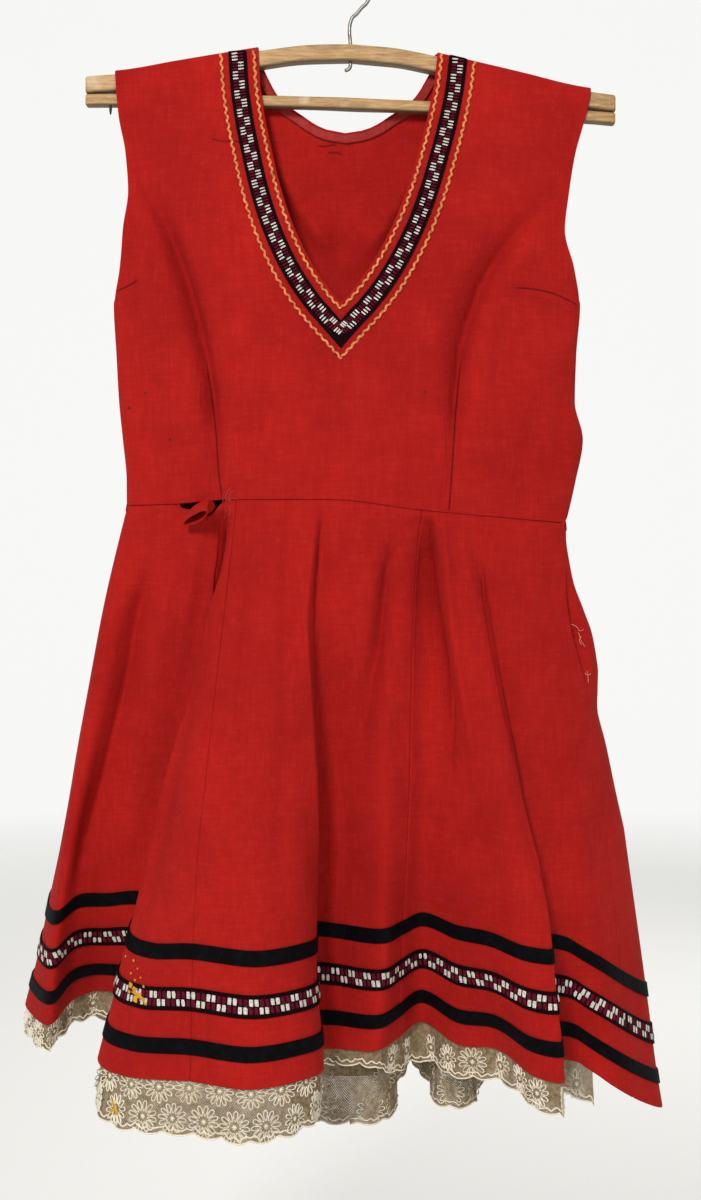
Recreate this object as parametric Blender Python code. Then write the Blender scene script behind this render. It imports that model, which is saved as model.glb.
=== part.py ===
"""Sleeveless folk dress of red wool on a wooden bow hanger.

Lengths are in millimetres until the last step, which scales them to metres.
+X is to the right as the dress is looked at, +Y to its back and +Z up.
The origin is the inner top of the hanger's hook.
"""

from collections import namedtuple
from math import cos, pi, radians, sin, sqrt, tan

import bmesh
import bpy
import numpy as np
from mathutils import Vector

MM = 0.001

# Cloth and trims
CLOTH = 1.8
TRIM = 1.0
LACE = 0.8
LAID_GAP = 0.4
NECK_LAID_GAP = 0.8
SEAM_GAP = 0.4
WAIST_GAP = 0.6

# Hanger
HANGER_HALF = 221.5
ARCH_TOP = -61.0
ARCH_HEIGHT = 13.5
ARCH_DEPTH = 13.0
BAR_MIDDLE = -109.8
BAR_BOW = 4.5
BAR_HEIGHT = 9.0
BAR_DEPTH = 12.0
TILT = tan(radians(2.0))
WOOD_BEVEL = 1.2
HANGER_STATIONS = 25

# How far the bow's arch has dropped at distances from its middle
ARCH_BOW = [(0, 0), (35, 2), (70, 7.2), (110, 14.8), (145, 21.8), (190, 31), (222, 34.5)]

# Hook
WIRE = 3.2
HOOK_RADIUS = 17.0
HOOK_SHANK_TOP = -42.0
HOOK_TAIL_DROP = 7.0
HOOK_TAIL_BACK = 5.0
HOOK_HOLE = 4.4

# Bodice
SHOULDER_LIFT = 3.3
SHOULDER_HALF_DEPTH = 8.9
SHOULDER_CORNER = 0.9
NECK_WIDE = 80.0
BODY_ROUND = 2.4
BODICE_COLUMNS = 9
NECK_TOP_Z = -67.0
NECK_TIP_Z = -279.0
NECK_MIDDLE_TOP = -2.0
NECK_MIDDLE_TIP = -8.0
BACK_NECK_DROP = 64.5
SIDE_CROWDING = 1.15

# Parts of the way down to the waist for the rows nearest the shoulder
SHOULDER_ROWS = [0.035, 0.075]
NECK_ROWS_START = 0.13
FRONT_NECK_ROWS = 8
FRONT_WAIST_ROWS = 8
BACK_NECK_ROWS = 4
BACK_WAIST_ROWS = 11

# A row for each height of the bodice: the outline left and right, how far the
# front and back stand out at their middle, how far their edges stand from the
# middle plane, and how round the sides are (1 is a lens, 0.5 an ellipse)
Section = namedtuple("Section", "z left right front back edge side_power")
SECTIONS = [
    Section(-60, -197, 201, 0, 0, 8.9, 1.0),
    Section(-100, -195, 200, 1, 1, 8.9, 1.0),
    Section(-120, -193, 196, 3, 2, 9.5, 1.0),
    Section(-152, -187, 187, 8, 5, 11.5, 1.0),
    Section(-183, -185, 182, 14, 8, 12.0, 1.0),
    Section(-214, -190, 179, 19, 10, 10.0, 0.9),
    Section(-247, -194, 188, 24, 12, 5.0, 0.7),
    Section(-277, -199, 193, 28, 14, 0.2, 0.52),
    Section(-319, -197, 190, 31, 17, 0.2, 0.5),
    Section(-358, -195, 189, 31, 19, 0.2, 0.5),
    Section(-390, -192, 196, 30, 21, 0.2, 0.5),
    Section(-425, -189, 190, 29, 22, 0.2, 0.5),
    Section(-465, -189, 181, 29, 23, 0.2, 0.5),
]

# Half widths of the two necklines at depths under the shoulder
FRONT_NECK = [
    (0, 75.5),
    (28, 73),
    (55, 68.5),
    (83, 62),
    (110, 55),
    (136, 46.5),
    (163, 34.5),
    (183, 23),
    (202, 9),
    (212, 0),
]
BACK_NECK = [
    (0, 75.5),
    (12, 71),
    (22, 66),
    (35, 58),
    (43, 49),
    (50, 38),
    (57, 27),
    (62, 15),
    (64.5, 0),
]

# The waist seam's height along X, front and back
WAIST_FRONT = [(-195, -446), (-150, -445), (-98, -441), (-20, -441), (60, -450), (185, -461)]
WAIST_BACK = [(-195, -446), (0, -452), (185, -461)]

# The tear in the waist seam
TEAR_LEFT = -144.0
TEAR_RIGHT = -104.0
TEAR_DROP = 9.0

# Trims at the neck, as distances from the neck edge
INNER_RICRAC_AT = 3.0
OUTER_RICRAC_AT = 31.3
RICRAC_WIDTH = 3.6
NECK_BRAID_AT = 16.8
NECK_BRAID_WIDTH = 14.5
FACING_NEAR = 0.6
FACING_FAR = 9.0
NECK_STATIONS = 17
BACK_NECK_STATIONS = 11

# How far under the shoulder the trims start on the cloth, and under the arch inside it
TRIM_START = 4.5
FACING_START = 1.0

# Trims and lace at the hem, as distances up the cloth from its edge
UPPER_BAND = (108.0, 96.0)
HEM_BRAID = (73.0, 55.0)
LOWER_BAND = (32.5, 20.5)
BAND_HEIGHT = 102.0
BAND_PART = 0.78

# How fast a fold leaves the waist, against a straight line: in the middle, and added at the side
FLARE_MIDDLE = 0.75
FLARE_SIDE = 0.6
LACE_HANG = 0.5

# A row for each fold of the skirt, anticlockwise from above starting at the left
# side seam: X at the waist, X and Y at the upper band, the hem's point, the drop
# of the lace under it, and columns of the mesh up to the next row
Fold = namedtuple("Fold", "name waist_x band_x band_y hem_x hem_y hem_z lace columns")
FOLDS = [
    Fold("left_seam", -189, -266, 40, -292, 70, -892, 27, 3),
    Fold("left_ridge", -184, -250, -4, -261, 18, -896, 27, 2),
    Fold("left_slope", -160, -233, 8, -243, 45, -881, 28, 2),
    Fold("left_valley", -136, -211, 16, -224, 60, -878, 30, 2),
    Fold("left_under", -114, -182, 4, -192, 38, -881, 30, 4),
    Fold("ridge_edge", -107, -188, -30, -211, -46, -907, 40, 3),
    Fold("ridge_left", -103, -164, -58, -184, -80, -910, 44, 3),
    Fold("left_gore", -95, -128, -78, -129, -100, -908, 45, 3),
    Fold("ridge_middle", -60, -77, -88, -80, -108, -912, 45, 3),
    Fold("ridge_right", -35, -42, -72, -41, -90, -911, 44, 3),
    Fold("ridge_turn", -26, -28, -40, -23, -58, -912, 38, 3),
    Fold("ridge_under", -20, -33, -6, -36, -20, -908, 20, 3),
    Fold("centre_valley", -10, -13, 4, -13, 2, -912, 16, 3),
    Fold("low_ridge", 29, 27, -26, 22, -14, -909, 16, 2),
    Fold("right_gore", 59, 45, -6, 41, 10, -906, 34, 2),
    Fold("deep_valley", 65, 62, 6, 62, 35, -899, 40, 3),
    Fold("flat", 73, 89, -12, 94, 0, -909, 32, 2),
    Fold("flat_right", 86, 117, -34, 123, -12, -908, 32, 2),
    Fold("right_ridge", 97, 145, -52, 151, -55, -918, 30, 2),
    Fold("right_turn", 104, 168, -50, 175, -70, -919, 30, 3),
    Fold("right_under", 108, 161, -28, 170, -28, -914, 30, 2),
    Fold("right_valley", 115, 184, -12, 193, -10, -920, 34, 1),
    Fold("lace_end", 130, 197, -10, 206, -12, -928, 34, 1),
    Fold("right_front", 150, 210, -6, 219, -14, -936, 0, 3),
    Fold("right_seam", 179, 235, 18, 244, 2, -955, 0, 3),
    Fold("right_side", 181, 265, 66, 276, 45, -977, 0, 3),
    Fold("right_back", 174, 242, 108, 252, 106, -968, 0, 3),
    Fold("back_full_1", 158, 205, 130, 212, 163, -950, 36, 2),
    Fold("back_full_2", 140, 164, 130, 164, 172, -940, 36, 3),
    Fold("back_slope_1", 122, 129, 100, 124, 118, -937, 40, 3),
    Fold("back_valley_1", 106, 104, 62, 105, 64, -940, 44, 2),
    Fold("back_valley_2", 92, 84, 56, 82, 60, -939, 44, 3),
    Fold("back_slope_2", 78, 70, 86, 72, 106, -936, 38, 3),
    Fold("back_full_3", 66, 58, 114, 57, 150, -934, 36, 3),
    Fold("back_slope_3", 54, 46, 86, 42, 104, -940, 38, 3),
    Fold("back_valley_3", 40, 33, 52, 32, 48, -947, 44, 2),
    Fold("back_valley_4", 8, 2, 47, 0, 41, -948, 44, 2),
    Fold("back_valley_5", -24, -31, 54, -35, 52, -948, 44, 3),
    Fold("back_full_4", -50, -67, 100, -72, 138, -942, 36, 3),
    Fold("back_full_5", -78, -104, 108, -112, 148, -932, 36, 3),
    Fold("back_valley_6", -104, -140, 72, -152, 88, -920, 36, 3),
    Fold("back_full_6", -130, -178, 98, -192, 124, -906, 34, 2),
    Fold("back_full_7", -156, -222, 110, -238, 142, -895, 32, 3),
    Fold("left_back", -180, -262, 88, -276, 118, -890, 28, 3),
]

# Parts of the way down to the upper band where the skirt's wall has a ring
SKIRT_RINGS = [0.0, 0.08, 0.22, 0.38, 0.56, 0.75]

# Pocket opening in the right side seam, as parts of the way to the upper band
POCKET_TOP = 0.13
POCKET_BOTTOM = 0.47
POCKET_GAPE = 6.5

# Torn pleat that rolls out of the tear
ROLL_X = -131.0
ROLL_WIDTH = 20.0
ROLL_RADIUS = 7.0
ROLL_START = 20.0
ROLL_TURN = 285.0
ROLL_CLEAR = 0.6
ROLL_UNDER = 1.5
ROLL_SWELL = (0.85, 1.0, 0.9)


def clear_scene():
    for item in list(bpy.data.objects):
        bpy.data.objects.remove(item, do_unlink=True)


def material(name, colour, roughness, metallic=0.0):
    made = bpy.data.materials.new(name)
    made.use_nodes = True
    shader = made.node_tree.nodes["Principled BSDF"]
    shader.inputs["Base Color"].default_value = (*colour, 1.0)
    shader.inputs["Roughness"].default_value = roughness
    shader.inputs["Metallic"].default_value = metallic
    return made


def smooth_table(xs, ys, x):
    """A monotone cubic through the table's points, flat beyond its ends."""
    xs, ys = np.asarray(xs, float), np.asarray(ys, float)
    slopes = np.diff(ys) / np.diff(xs)
    middle = np.where(
        slopes[:-1] * slopes[1:] > 0,
        2 * slopes[:-1] * slopes[1:] / (slopes[:-1] + slopes[1:] + 1e-12),
        0.0,
    )
    tangents = np.concatenate([slopes[:1], middle, slopes[-1:]])
    x = np.clip(x, xs[0], xs[-1])
    i = np.clip(np.searchsorted(xs, x, side="right") - 1, 0, len(xs) - 2)
    step = xs[i + 1] - xs[i]
    u = (x - xs[i]) / step
    return (
        (2 * u**3 - 3 * u**2 + 1) * ys[i]
        + (u**3 - 2 * u**2 + u) * step * tangents[i]
        + (3 * u**2 - 2 * u**3) * ys[i + 1]
        + (u**3 - u**2) * step * tangents[i + 1]
    )


def section(column, z):
    """A column of the bodice's table, read at height z."""
    rows = SECTIONS[::-1]
    return smooth_table([r.z for r in rows], [getattr(r, column) for r in rows], z)


def table_at(rows, x):
    return smooth_table([r[0] for r in rows], [r[1] for r in rows], x)


def arch_top(x):
    return ARCH_TOP - table_at(ARCH_BOW, abs(x)) - TILT * x


def bar_top(x):
    return BAR_MIDDLE + BAR_BOW * (1 - (x / HANGER_HALF) ** 2) - TILT * x


def shoulder_z(x):
    """The shoulder seam, which lies on the hanger's arch."""
    return arch_top(x) + SHOULDER_LIFT


def neck_middle(z):
    """The neck's middle line, tilted with the hanger."""
    part = (z - NECK_TOP_Z) / (NECK_TIP_Z - NECK_TOP_Z)
    return NECK_MIDDLE_TOP + (NECK_MIDDLE_TIP - NECK_MIDDLE_TOP) * part


def neck_half(table, z):
    return table_at(table, NECK_TOP_Z - z)


def bodice_y(side, x, z):
    """Y of the bodice's outer face. side is -1 at the front and 1 at the back."""
    left, right = section("left", z), section("right", z)
    across = np.clip(abs(x - (left + right) / 2) / ((right - left) / 2), 0, 1)
    stand = section("front" if side < 0 else "back", z)
    round_part = (1 - across**BODY_ROUND) ** section("side_power", z)
    return side * (section("edge", z) + stand * round_part)


def normals(grid, closed):
    """Unit normals of a grid of points, rows by columns, from its own differences."""
    down = np.gradient(grid, axis=0)
    if closed:
        along = np.roll(grid, -1, axis=1) - np.roll(grid, 1, axis=1)
    else:
        along = np.gradient(grid, axis=1)
    out = np.cross(along, -down)
    return out / np.linalg.norm(out, axis=2, keepdims=True)


def grid_faces(rows, columns):
    """Triangles of a grid, two for each cell and cut the same way in each."""
    faces = []
    for r in range(rows - 1):
        for c in range(columns - 1):
            a = r * columns + c
            faces.append((a, a + columns, a + columns + 1))
            faces.append((a, a + columns + 1, a + 1))
    return faces


def wall(name, outer, inner, faces, finish, collection):
    """A cloth wall between two faces of matching points, closed round its edges."""
    count = len(outer)
    edges = {}
    for face in faces:
        for a, b in zip(face, face[1:] + face[:1]):
            edges[(a, b)] = edges.get((a, b), 0) + 1
    rim = [edge for edge in edges if (edge[1], edge[0]) not in edges]
    all_faces = list(faces)
    all_faces += [tuple(i + count for i in reversed(face)) for face in faces]
    for a, b in rim:
        all_faces += [(b, a, a + count), (b, a + count, b + count)]
    mesh = bpy.data.meshes.new(name)
    points = np.concatenate([outer, inner]) * MM
    mesh.from_pydata([tuple(p) for p in points], [], all_faces)
    mesh.materials.append(finish)
    shaped = bmesh.new()
    shaped.from_mesh(mesh)
    bmesh.ops.recalc_face_normals(shaped, faces=shaped.faces)
    shaped.to_mesh(mesh)
    shaped.free()
    made = bpy.data.objects.new(name, mesh)
    collection.objects.link(made)
    return made


def grid_wall(name, outer, inner, finish, collection):
    rows, columns = outer.shape[:2]
    faces = grid_faces(rows, columns)
    return wall(name, outer.reshape(-1, 3), inner.reshape(-1, 3), faces, finish, collection)


def bodice_point(side, x, z):
    return np.array([x, bodice_y(side, x, z), z])


def bodice_out(side, x, z):
    """The outward normal of the bodice at a point."""
    step = 2.0
    along = bodice_point(side, x + step, z) - bodice_point(side, x - step, z)
    down = bodice_point(side, x, z - step) - bodice_point(side, x, z + step)
    out = np.cross(along, -down) if side < 0 else np.cross(-along, -down)
    return out / np.linalg.norm(out)


def bodice_rows(side):
    """Parts of the way down from shoulder to waist, with one row at the neck's lowest point."""
    drop = NECK_TOP_Z - NECK_TIP_Z if side < 0 else BACK_NECK_DROP
    whole = NECK_TOP_Z - table_at(WAIST_FRONT if side < 0 else WAIST_BACK, 0.0)
    tip = drop / whole
    upper_rows = FRONT_NECK_ROWS if side < 0 else BACK_NECK_ROWS
    lower_rows = FRONT_WAIST_ROWS if side < 0 else BACK_WAIST_ROWS
    upper = SHOULDER_ROWS + list(np.linspace(NECK_ROWS_START, tip, upper_rows))
    lower = list(np.linspace(tip, 1.0, lower_rows))[1:]
    return upper + lower, tip


def bodice_place(side, column_part, row_part, half, tip):
    """X and Z of a grid point. half is -1 for the left half and 1 for the right."""
    waist = WAIST_FRONT if side < 0 else WAIST_BACK
    table = FRONT_NECK if side < 0 else BACK_NECK
    gap = WAIST_GAP / 2
    z = NECK_TOP_Z + (table_at(waist, 0.0) - NECK_TOP_Z) * row_part
    x = 0.0
    for _ in range(6):
        outline = section("left" if half < 0 else "right", z)
        inner = neck_middle(z)
        if row_part < tip - 1e-6:
            inner += half * neck_half(table, z)
        x = outline + (inner - outline) * column_part
        top = shoulder_z(x) if abs(x) > NECK_WIDE else shoulder_z(half * NECK_WIDE)
        top -= SHOULDER_CORNER
        if abs(x) < NECK_WIDE:
            top += (NECK_TOP_Z - top) * (1 - abs(x) / NECK_WIDE)
        z = top + (table_at(waist, x) + gap - top) * row_part
    return x, z


def column_parts():
    """Parts from the side to the neck, closer together round the side."""
    return 1 - np.cos(np.linspace(0, pi / 2, BODICE_COLUMNS)) ** SIDE_CROWDING


def bodice_panel(name, side, finish, collection):
    """One bodice panel: two halves that part at the neck and join under it."""
    rows, tip = bodice_rows(side)
    parts = column_parts()
    count = len(parts)
    outer, inner, index = [], [], {}

    def add(key, point, out):
        index[key] = len(outer)
        under = point - out * CLOTH
        if side * under[1] < SEAM_GAP / 2:
            under[1] = side * SEAM_GAP / 2
        outer.append(point)
        inner.append(under)

    for half in (-1, 1):
        for r, row_part in enumerate([None, None] + rows):
            for c, column_part in enumerate(parts):
                joined = c == count - 1 and r > 1 and row_part > tip - 1e-6
                key = (r, c, 0 if joined else half)
                if key in index:
                    continue
                if r > 1:
                    x, z = bodice_place(side, column_part, row_part, half, tip)
                    add(key, bodice_point(side, x, z), bodice_out(side, x, z))
                    continue
                x, z = bodice_place(side, column_part, 0.0, half, tip)
                if r == 1:
                    point = np.array([x, side * SHOULDER_HALF_DEPTH, z])
                    add(key, point, np.array([0, side, 0.6]))
                else:
                    point = np.array([x, side * SEAM_GAP / 2, z + SHOULDER_CORNER])
                    add(key, point, np.array([0, 0, 1.0]))
    faces = []
    for half in (-1, 1):

        def at(r, c, half=half):
            return index.get((r, c, half), index.get((r, c, 0)))

        for r in range(len(rows) + 1):
            for c in range(count - 1):
                a, b = at(r, c), at(r + 1, c)
                d, e = at(r, c + 1), at(r + 1, c + 1)
                pair = [(a, b, e), (a, e, d)]
                faces += pair if half < 0 else [tuple(reversed(f)) for f in pair]
    return wall(name, np.array(outer), np.array(inner), faces, finish, collection)


def neck_line(table, tip_drop, stations):
    """Points of a neckline in X and Z, from the left shoulder round to the right."""
    drops = tip_drop * np.sin(np.linspace(0, pi / 2, stations))
    left, right = [], []
    for drop in drops:
        z = NECK_TOP_Z - drop
        half = table_at(table, drop)
        left.append((neck_middle(z) - half, z))
        right.append((neck_middle(z) + half, z))
    return np.array(left + right[::-1][1:])


def offset_line(line, distance):
    """The line moved away from the neck, mitred at its tip."""
    along = np.gradient(line, axis=0)
    along /= np.linalg.norm(along, axis=1, keepdims=True)
    out = np.stack([along[:, 1], -along[:, 0]], axis=1)
    tip = len(line) // 2
    steps = np.diff(line, axis=0)
    into = steps[tip - 1] / np.linalg.norm(steps[tip - 1])
    out[tip] = (0, -1)
    spread = distance / max(abs(into[0]), 0.2)
    moved = line + out * distance
    moved[tip] = line[tip] + (0, -spread)
    return moved


def clip_above(line, z_limit):
    """Lowers a line's ends to just under the shoulder's edge."""
    line = line.copy()
    line[:, 1] = np.minimum(line[:, 1], [z_limit(x) for x in line[:, 0]])
    return line


def neck_trim(name, side, line, near, far, under, finish, collection):
    """A strip between two distances from a neckline, laid on or under a bodice panel."""

    def limit(x):
        if under:
            return arch_top(x) - ARCH_HEIGHT - FACING_START
        return shoulder_z(x) - TRIM_START

    edges = [clip_above(offset_line(line, d), limit) for d in (near, far)]
    faces_out, faces_in = [], []
    for edge in edges:
        points = np.array([bodice_point(side, x, z) for x, z in edge])
        outs = np.array([bodice_out(side, x, z) for x, z in edge])
        start = -(CLOTH + NECK_LAID_GAP) if under else NECK_LAID_GAP + TRIM
        faces_out.append(points + outs * start)
        faces_in.append(points + outs * (start - TRIM))
    grid_wall(name, np.array(faces_out), np.array(faces_in), finish, collection)


def fold_curve(fold, side):
    """A fold's points at the waist, the upper band and the hem."""
    waist = WAIST_FRONT if side < 0 else WAIST_BACK
    waist_z = table_at(waist, fold.waist_x) - WAIST_GAP / 2
    if side < 0 and TEAR_LEFT < fold.waist_x < TEAR_RIGHT:
        part = (fold.waist_x - TEAR_LEFT) / (TEAR_RIGHT - TEAR_LEFT)
        waist_z -= TEAR_DROP * sin(pi * part)
    waist_y = bodice_y(side, fold.waist_x, waist_z)
    run = (fold.hem_x - fold.band_x) ** 2 + (fold.hem_y - fold.band_y) ** 2
    band_z = fold.hem_z + sqrt(BAND_HEIGHT**2 - run)
    return np.array(
        [
            (fold.waist_x, waist_y, waist_z),
            (fold.band_x, fold.band_y, band_z),
            (fold.hem_x, fold.hem_y, fold.hem_z),
        ]
    )


def down_fold(curve, part):
    """A point part of the way down a fold: 0 the waist, BAND_PART the band, 1 the hem."""
    waist, band, hem = curve
    first = (band - waist) / BAND_PART
    last = (hem - band) / (1 - BAND_PART)
    flare = FLARE_MIDDLE + FLARE_SIDE * abs(waist[0]) / 190
    start = first * np.array([flare, 0.5, 1.0])
    middle = np.where(first * last > 0, 2 * first * last / (first + last + 1e-9), 0.0)
    if part <= BAND_PART:
        u, step, a, b, ta, tb = part / BAND_PART, BAND_PART, waist, band, start, middle
    else:
        u = (part - BAND_PART) / (1 - BAND_PART)
        step, a, b, ta, tb = 1 - BAND_PART, band, hem, middle, last
    return (
        (2 * u**3 - 3 * u**2 + 1) * a
        + (u**3 - 2 * u**2 + u) * step * ta
        + (3 * u**2 - 2 * u**3) * b
        + (u**3 - u**2) * step * tb
    )


def round_ring(points, columns):
    """A smooth closed line through the points, with so many steps after each."""
    count = len(points)
    line = []
    for i in range(count):
        p = [points[(i + k) % count] for k in (-1, 0, 1, 2)]
        gaps = [max(np.linalg.norm(p[k + 1] - p[k]), 1.0) ** 0.5 for k in range(3)]
        knots = np.concatenate([[0], np.cumsum(gaps)])
        for c in range(columns[i]):
            t = knots[1] + gaps[1] * c / columns[i]
            a = [
                (knots[k + 1] - t) / gaps[k] * p[k] + (t - knots[k]) / gaps[k] * p[k + 1]
                for k in range(3)
            ]
            b = [
                (knots[k + 2] - t) / (knots[k + 2] - knots[k]) * a[k]
                + (t - knots[k]) / (knots[k + 2] - knots[k]) * a[k + 1]
                for k in range(2)
            ]
            line.append((knots[2] - t) / gaps[1] * b[0] + (t - knots[1]) / gaps[1] * b[1])
    return np.array(line)


def hem_part(distance):
    """The part of the way down that lies this far up the cloth from the hem."""
    return 1 - (1 - BAND_PART) * distance / BAND_HEIGHT


def skirt_grid(parts):
    """The skirt's outer face: a row for each part of the way down, a column round it."""
    seam = [f.name for f in FOLDS].index("right_side")
    curves = [fold_curve(f, -1 if i < seam else 1) for i, f in enumerate(FOLDS)]
    columns = [f.columns for f in FOLDS]
    rings = [round_ring([down_fold(c, part) for c in curves], columns) for part in parts]
    return np.array(rings)


def column_of(name):
    """The column at which a fold lies."""
    place = 0
    for fold in FOLDS:
        if fold.name == name:
            return place
        place += fold.columns
    return place


def slice_of(grid, first, last):
    """Columns from one fold to another, going round past the end if need be."""
    a, b = column_of(first), column_of(last)
    if b <= a:
        b += grid.shape[1]
    return grid[:, np.arange(a, b + 1) % grid.shape[1]].copy()


def trimmed(grid, gap):
    """The grid with its first and last columns drawn in by half the seam's gap."""
    for edge, inside in ((0, 1), (-1, -2)):
        step = grid[:, inside] - grid[:, edge]
        grid[:, edge] += step / np.linalg.norm(step, axis=1, keepdims=True) * gap / 2
    return grid


def skirt_piece(name, grid, out, first, last, finish, collection, shape=None):
    outer = slice_of(grid, first, last)
    inner = outer - slice_of(out, first, last) * CLOTH
    if shape:
        shape(outer)
        shape(inner)
    grid_wall(
        name, trimmed(outer, SEAM_GAP), trimmed(inner, SEAM_GAP), finish, collection
    )


def band_piece(name, grid, out, rows, first, last, finish, collection):
    """A band sewn on the skirt, made of the skirt's own points moved out."""
    face = slice_of(grid, first, last)[rows]
    away = slice_of(out, first, last)[rows]
    outer = face + away * (LAID_GAP + TRIM)
    inner = face + away * LAID_GAP
    grid_wall(
        name, trimmed(outer, SEAM_GAP), trimmed(inner, SEAM_GAP), finish, collection
    )


def lace_drops(first, last):
    """How far the lace hangs under the hem at each column."""
    drops = []
    for i, fold in enumerate(FOLDS):
        following = FOLDS[(i + 1) % len(FOLDS)]
        for c in range(fold.columns):
            drops.append(fold.lace + (following.lace - fold.lace) * c / fold.columns)
    drops = np.array(drops)[None, :]
    return slice_of(drops, first, last)[0]


def lace_piece(name, grid, out, rows, first, last, finish, collection):
    """Lace sewn inside the hem, hanging below it."""
    face = slice_of(grid, first, last)[rows]
    away = slice_of(out, first, last)[rows]
    outer = face - away * (CLOTH + LAID_GAP)
    slope = outer[-1] - outer[0]
    slope /= np.linalg.norm(slope, axis=1, keepdims=True)
    way = slope * (1 - LACE_HANG) + np.array([0, 0, -1.0]) * LACE_HANG
    way /= np.linalg.norm(way, axis=1, keepdims=True)
    drop = lace_drops(first, last)[:, None]
    hanging = [outer[-1] + way * drop * part for part in (0.5, 1.0)]
    outer = np.concatenate([outer, np.array(hanging)])
    away = np.concatenate([away, away[-1:], away[-1:]])
    inner = outer - away * LACE
    grid_wall(
        name, trimmed(outer, SEAM_GAP), trimmed(inner, SEAM_GAP), finish, collection
    )


def pocket_mouth(parts):
    """Draws the front's edge back along the pocket's opening in the side seam."""

    def shape(grid):
        for r, part in enumerate(parts):
            along = (part / BAND_PART - POCKET_TOP) / (POCKET_BOTTOM - POCKET_TOP)
            if 0 < along < 1:
                step = grid[r, -2] - grid[r, -1]
                reach = POCKET_GAPE * sin(pi * along) / np.linalg.norm(step)
                grid[r, -1] += step * min(reach, 0.8)

    return shape


def build_skirt(wool, black, braid, lace, collection):
    bands = [*UPPER_BAND, *HEM_BRAID, *LOWER_BAND, 0.0]
    parts = [ring * BAND_PART for ring in SKIRT_RINGS] + [hem_part(d) for d in bands]
    grid = skirt_grid(parts)
    out = normals(grid, closed=True)
    first_band = len(SKIRT_RINGS)
    pieces = [
        ("skirt_front_left", "left_seam", "left_gore", None),
        ("skirt_front_centre", "left_gore", "right_gore", None),
        ("skirt_front_right", "right_gore", "right_seam", pocket_mouth(parts)),
        ("skirt_back_right", "right_seam", "back_full_3", None),
        ("skirt_back_centre", "back_full_3", "back_full_5", None),
        ("skirt_back_left", "back_full_5", "left_seam", None),
    ]
    for name, first, last, shape in pieces:
        skirt_piece(name, grid, out, first, last, wool, collection, shape)
    for where, first, last in (
        ("front", "left_seam", "right_seam"),
        ("back", "right_seam", "left_seam"),
    ):
        for i, (label, finish) in enumerate(
            (("band_upper", black), ("braid_hem", braid), ("band_lower", black))
        ):
            rows = [first_band + 2 * i, first_band + 2 * i + 1]
            band_piece(f"{label}_{where}", grid, out, rows, first, last, finish, collection)
    rows = [len(parts) - 2, len(parts) - 1]
    for name, first, last in (
        ("lace_front_left", "left_seam", "centre_valley"),
        ("lace_front_right", "centre_valley", "lace_end"),
        ("lace_back_right", "back_full_1", "back_valley_4"),
        ("lace_back_left", "back_valley_4", "left_seam"),
    ):
        lace_piece(name, grid, out, rows, first, last, lace, collection)


def build_tear(wool, collection):
    """The pleat that has come out of the waist seam and rolled over."""
    seam_z = table_at(WAIST_FRONT, ROLL_X)
    seam_y = bodice_y(-1, ROLL_X, seam_z)
    out = ROLL_RADIUS + ROLL_CLEAR
    centre = np.array([0, seam_y - out, seam_z - ROLL_RADIUS - ROLL_UNDER])
    turns = np.radians(ROLL_START + np.linspace(0, ROLL_TURN, 13))
    xs = ROLL_X + ROLL_WIDTH * np.linspace(-0.5, 0.5, len(ROLL_SWELL))
    outer, inner = [], []
    for x, swell in zip(xs, ROLL_SWELL):
        ring = np.stack([0 * turns, np.cos(turns), np.sin(turns)], axis=1)
        middle = centre + np.array([x, 0, 0])
        outer.append(middle + ring * ROLL_RADIUS * swell)
        inner.append(middle + ring * (ROLL_RADIUS * swell - CLOTH))
    grid_wall("torn_pleat", np.array(outer), np.array(inner), wool, collection)


def plank(name, top, height, depth, finish, collection):
    """A bent strip of wood with eased edges, from the hanger's left end to its right."""
    half, ease = depth / 2, WOOD_BEVEL
    profile = [
        (-half + ease, 0),
        (half - ease, 0),
        (half, -ease),
        (half, ease - height),
        (half - ease, -height),
        (ease - half, -height),
        (-half, ease - height),
        (-half, -ease),
    ]
    shaped = bmesh.new()
    rings = []
    for x in np.linspace(-HANGER_HALF, HANGER_HALF, HANGER_STATIONS):
        z = top(x)
        rings.append([shaped.verts.new(Vector((x, y, z + dz)) * MM) for y, dz in profile])
    sides = len(profile)
    for near, far in zip(rings, rings[1:]):
        for i in range(sides):
            j = (i + 1) % sides
            shaped.faces.new((near[i], near[j], far[j], far[i]))
    shaped.faces.new(rings[0][::-1])
    shaped.faces.new(rings[-1])
    bmesh.ops.recalc_face_normals(shaped, faces=shaped.faces)
    mesh = bpy.data.meshes.new(name)
    shaped.to_mesh(mesh)
    shaped.free()
    mesh.materials.append(finish)
    made = bpy.data.objects.new(name, mesh)
    collection.objects.link(made)
    return made


def drill(piece, cutters):
    """The hole in the arch that the hook's shank goes through."""
    bpy.ops.mesh.primitive_cylinder_add(
        vertices=16,
        radius=HOOK_HOLE / 2 * MM,
        depth=ARCH_HEIGHT * 3 * MM,
        location=(0, 0, (ARCH_TOP - ARCH_HEIGHT / 2) * MM),
    )
    cutter = bpy.context.object
    cutter.name = "hook_hole"
    cutter.hide_render = True
    cutter.display_type = "WIRE"
    for owner in list(cutter.users_collection):
        owner.objects.unlink(cutter)
    cutters.objects.link(cutter)
    cut = piece.modifiers.new("hook hole", "BOOLEAN")
    cut.operation = "DIFFERENCE"
    cut.object = cutter


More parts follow.
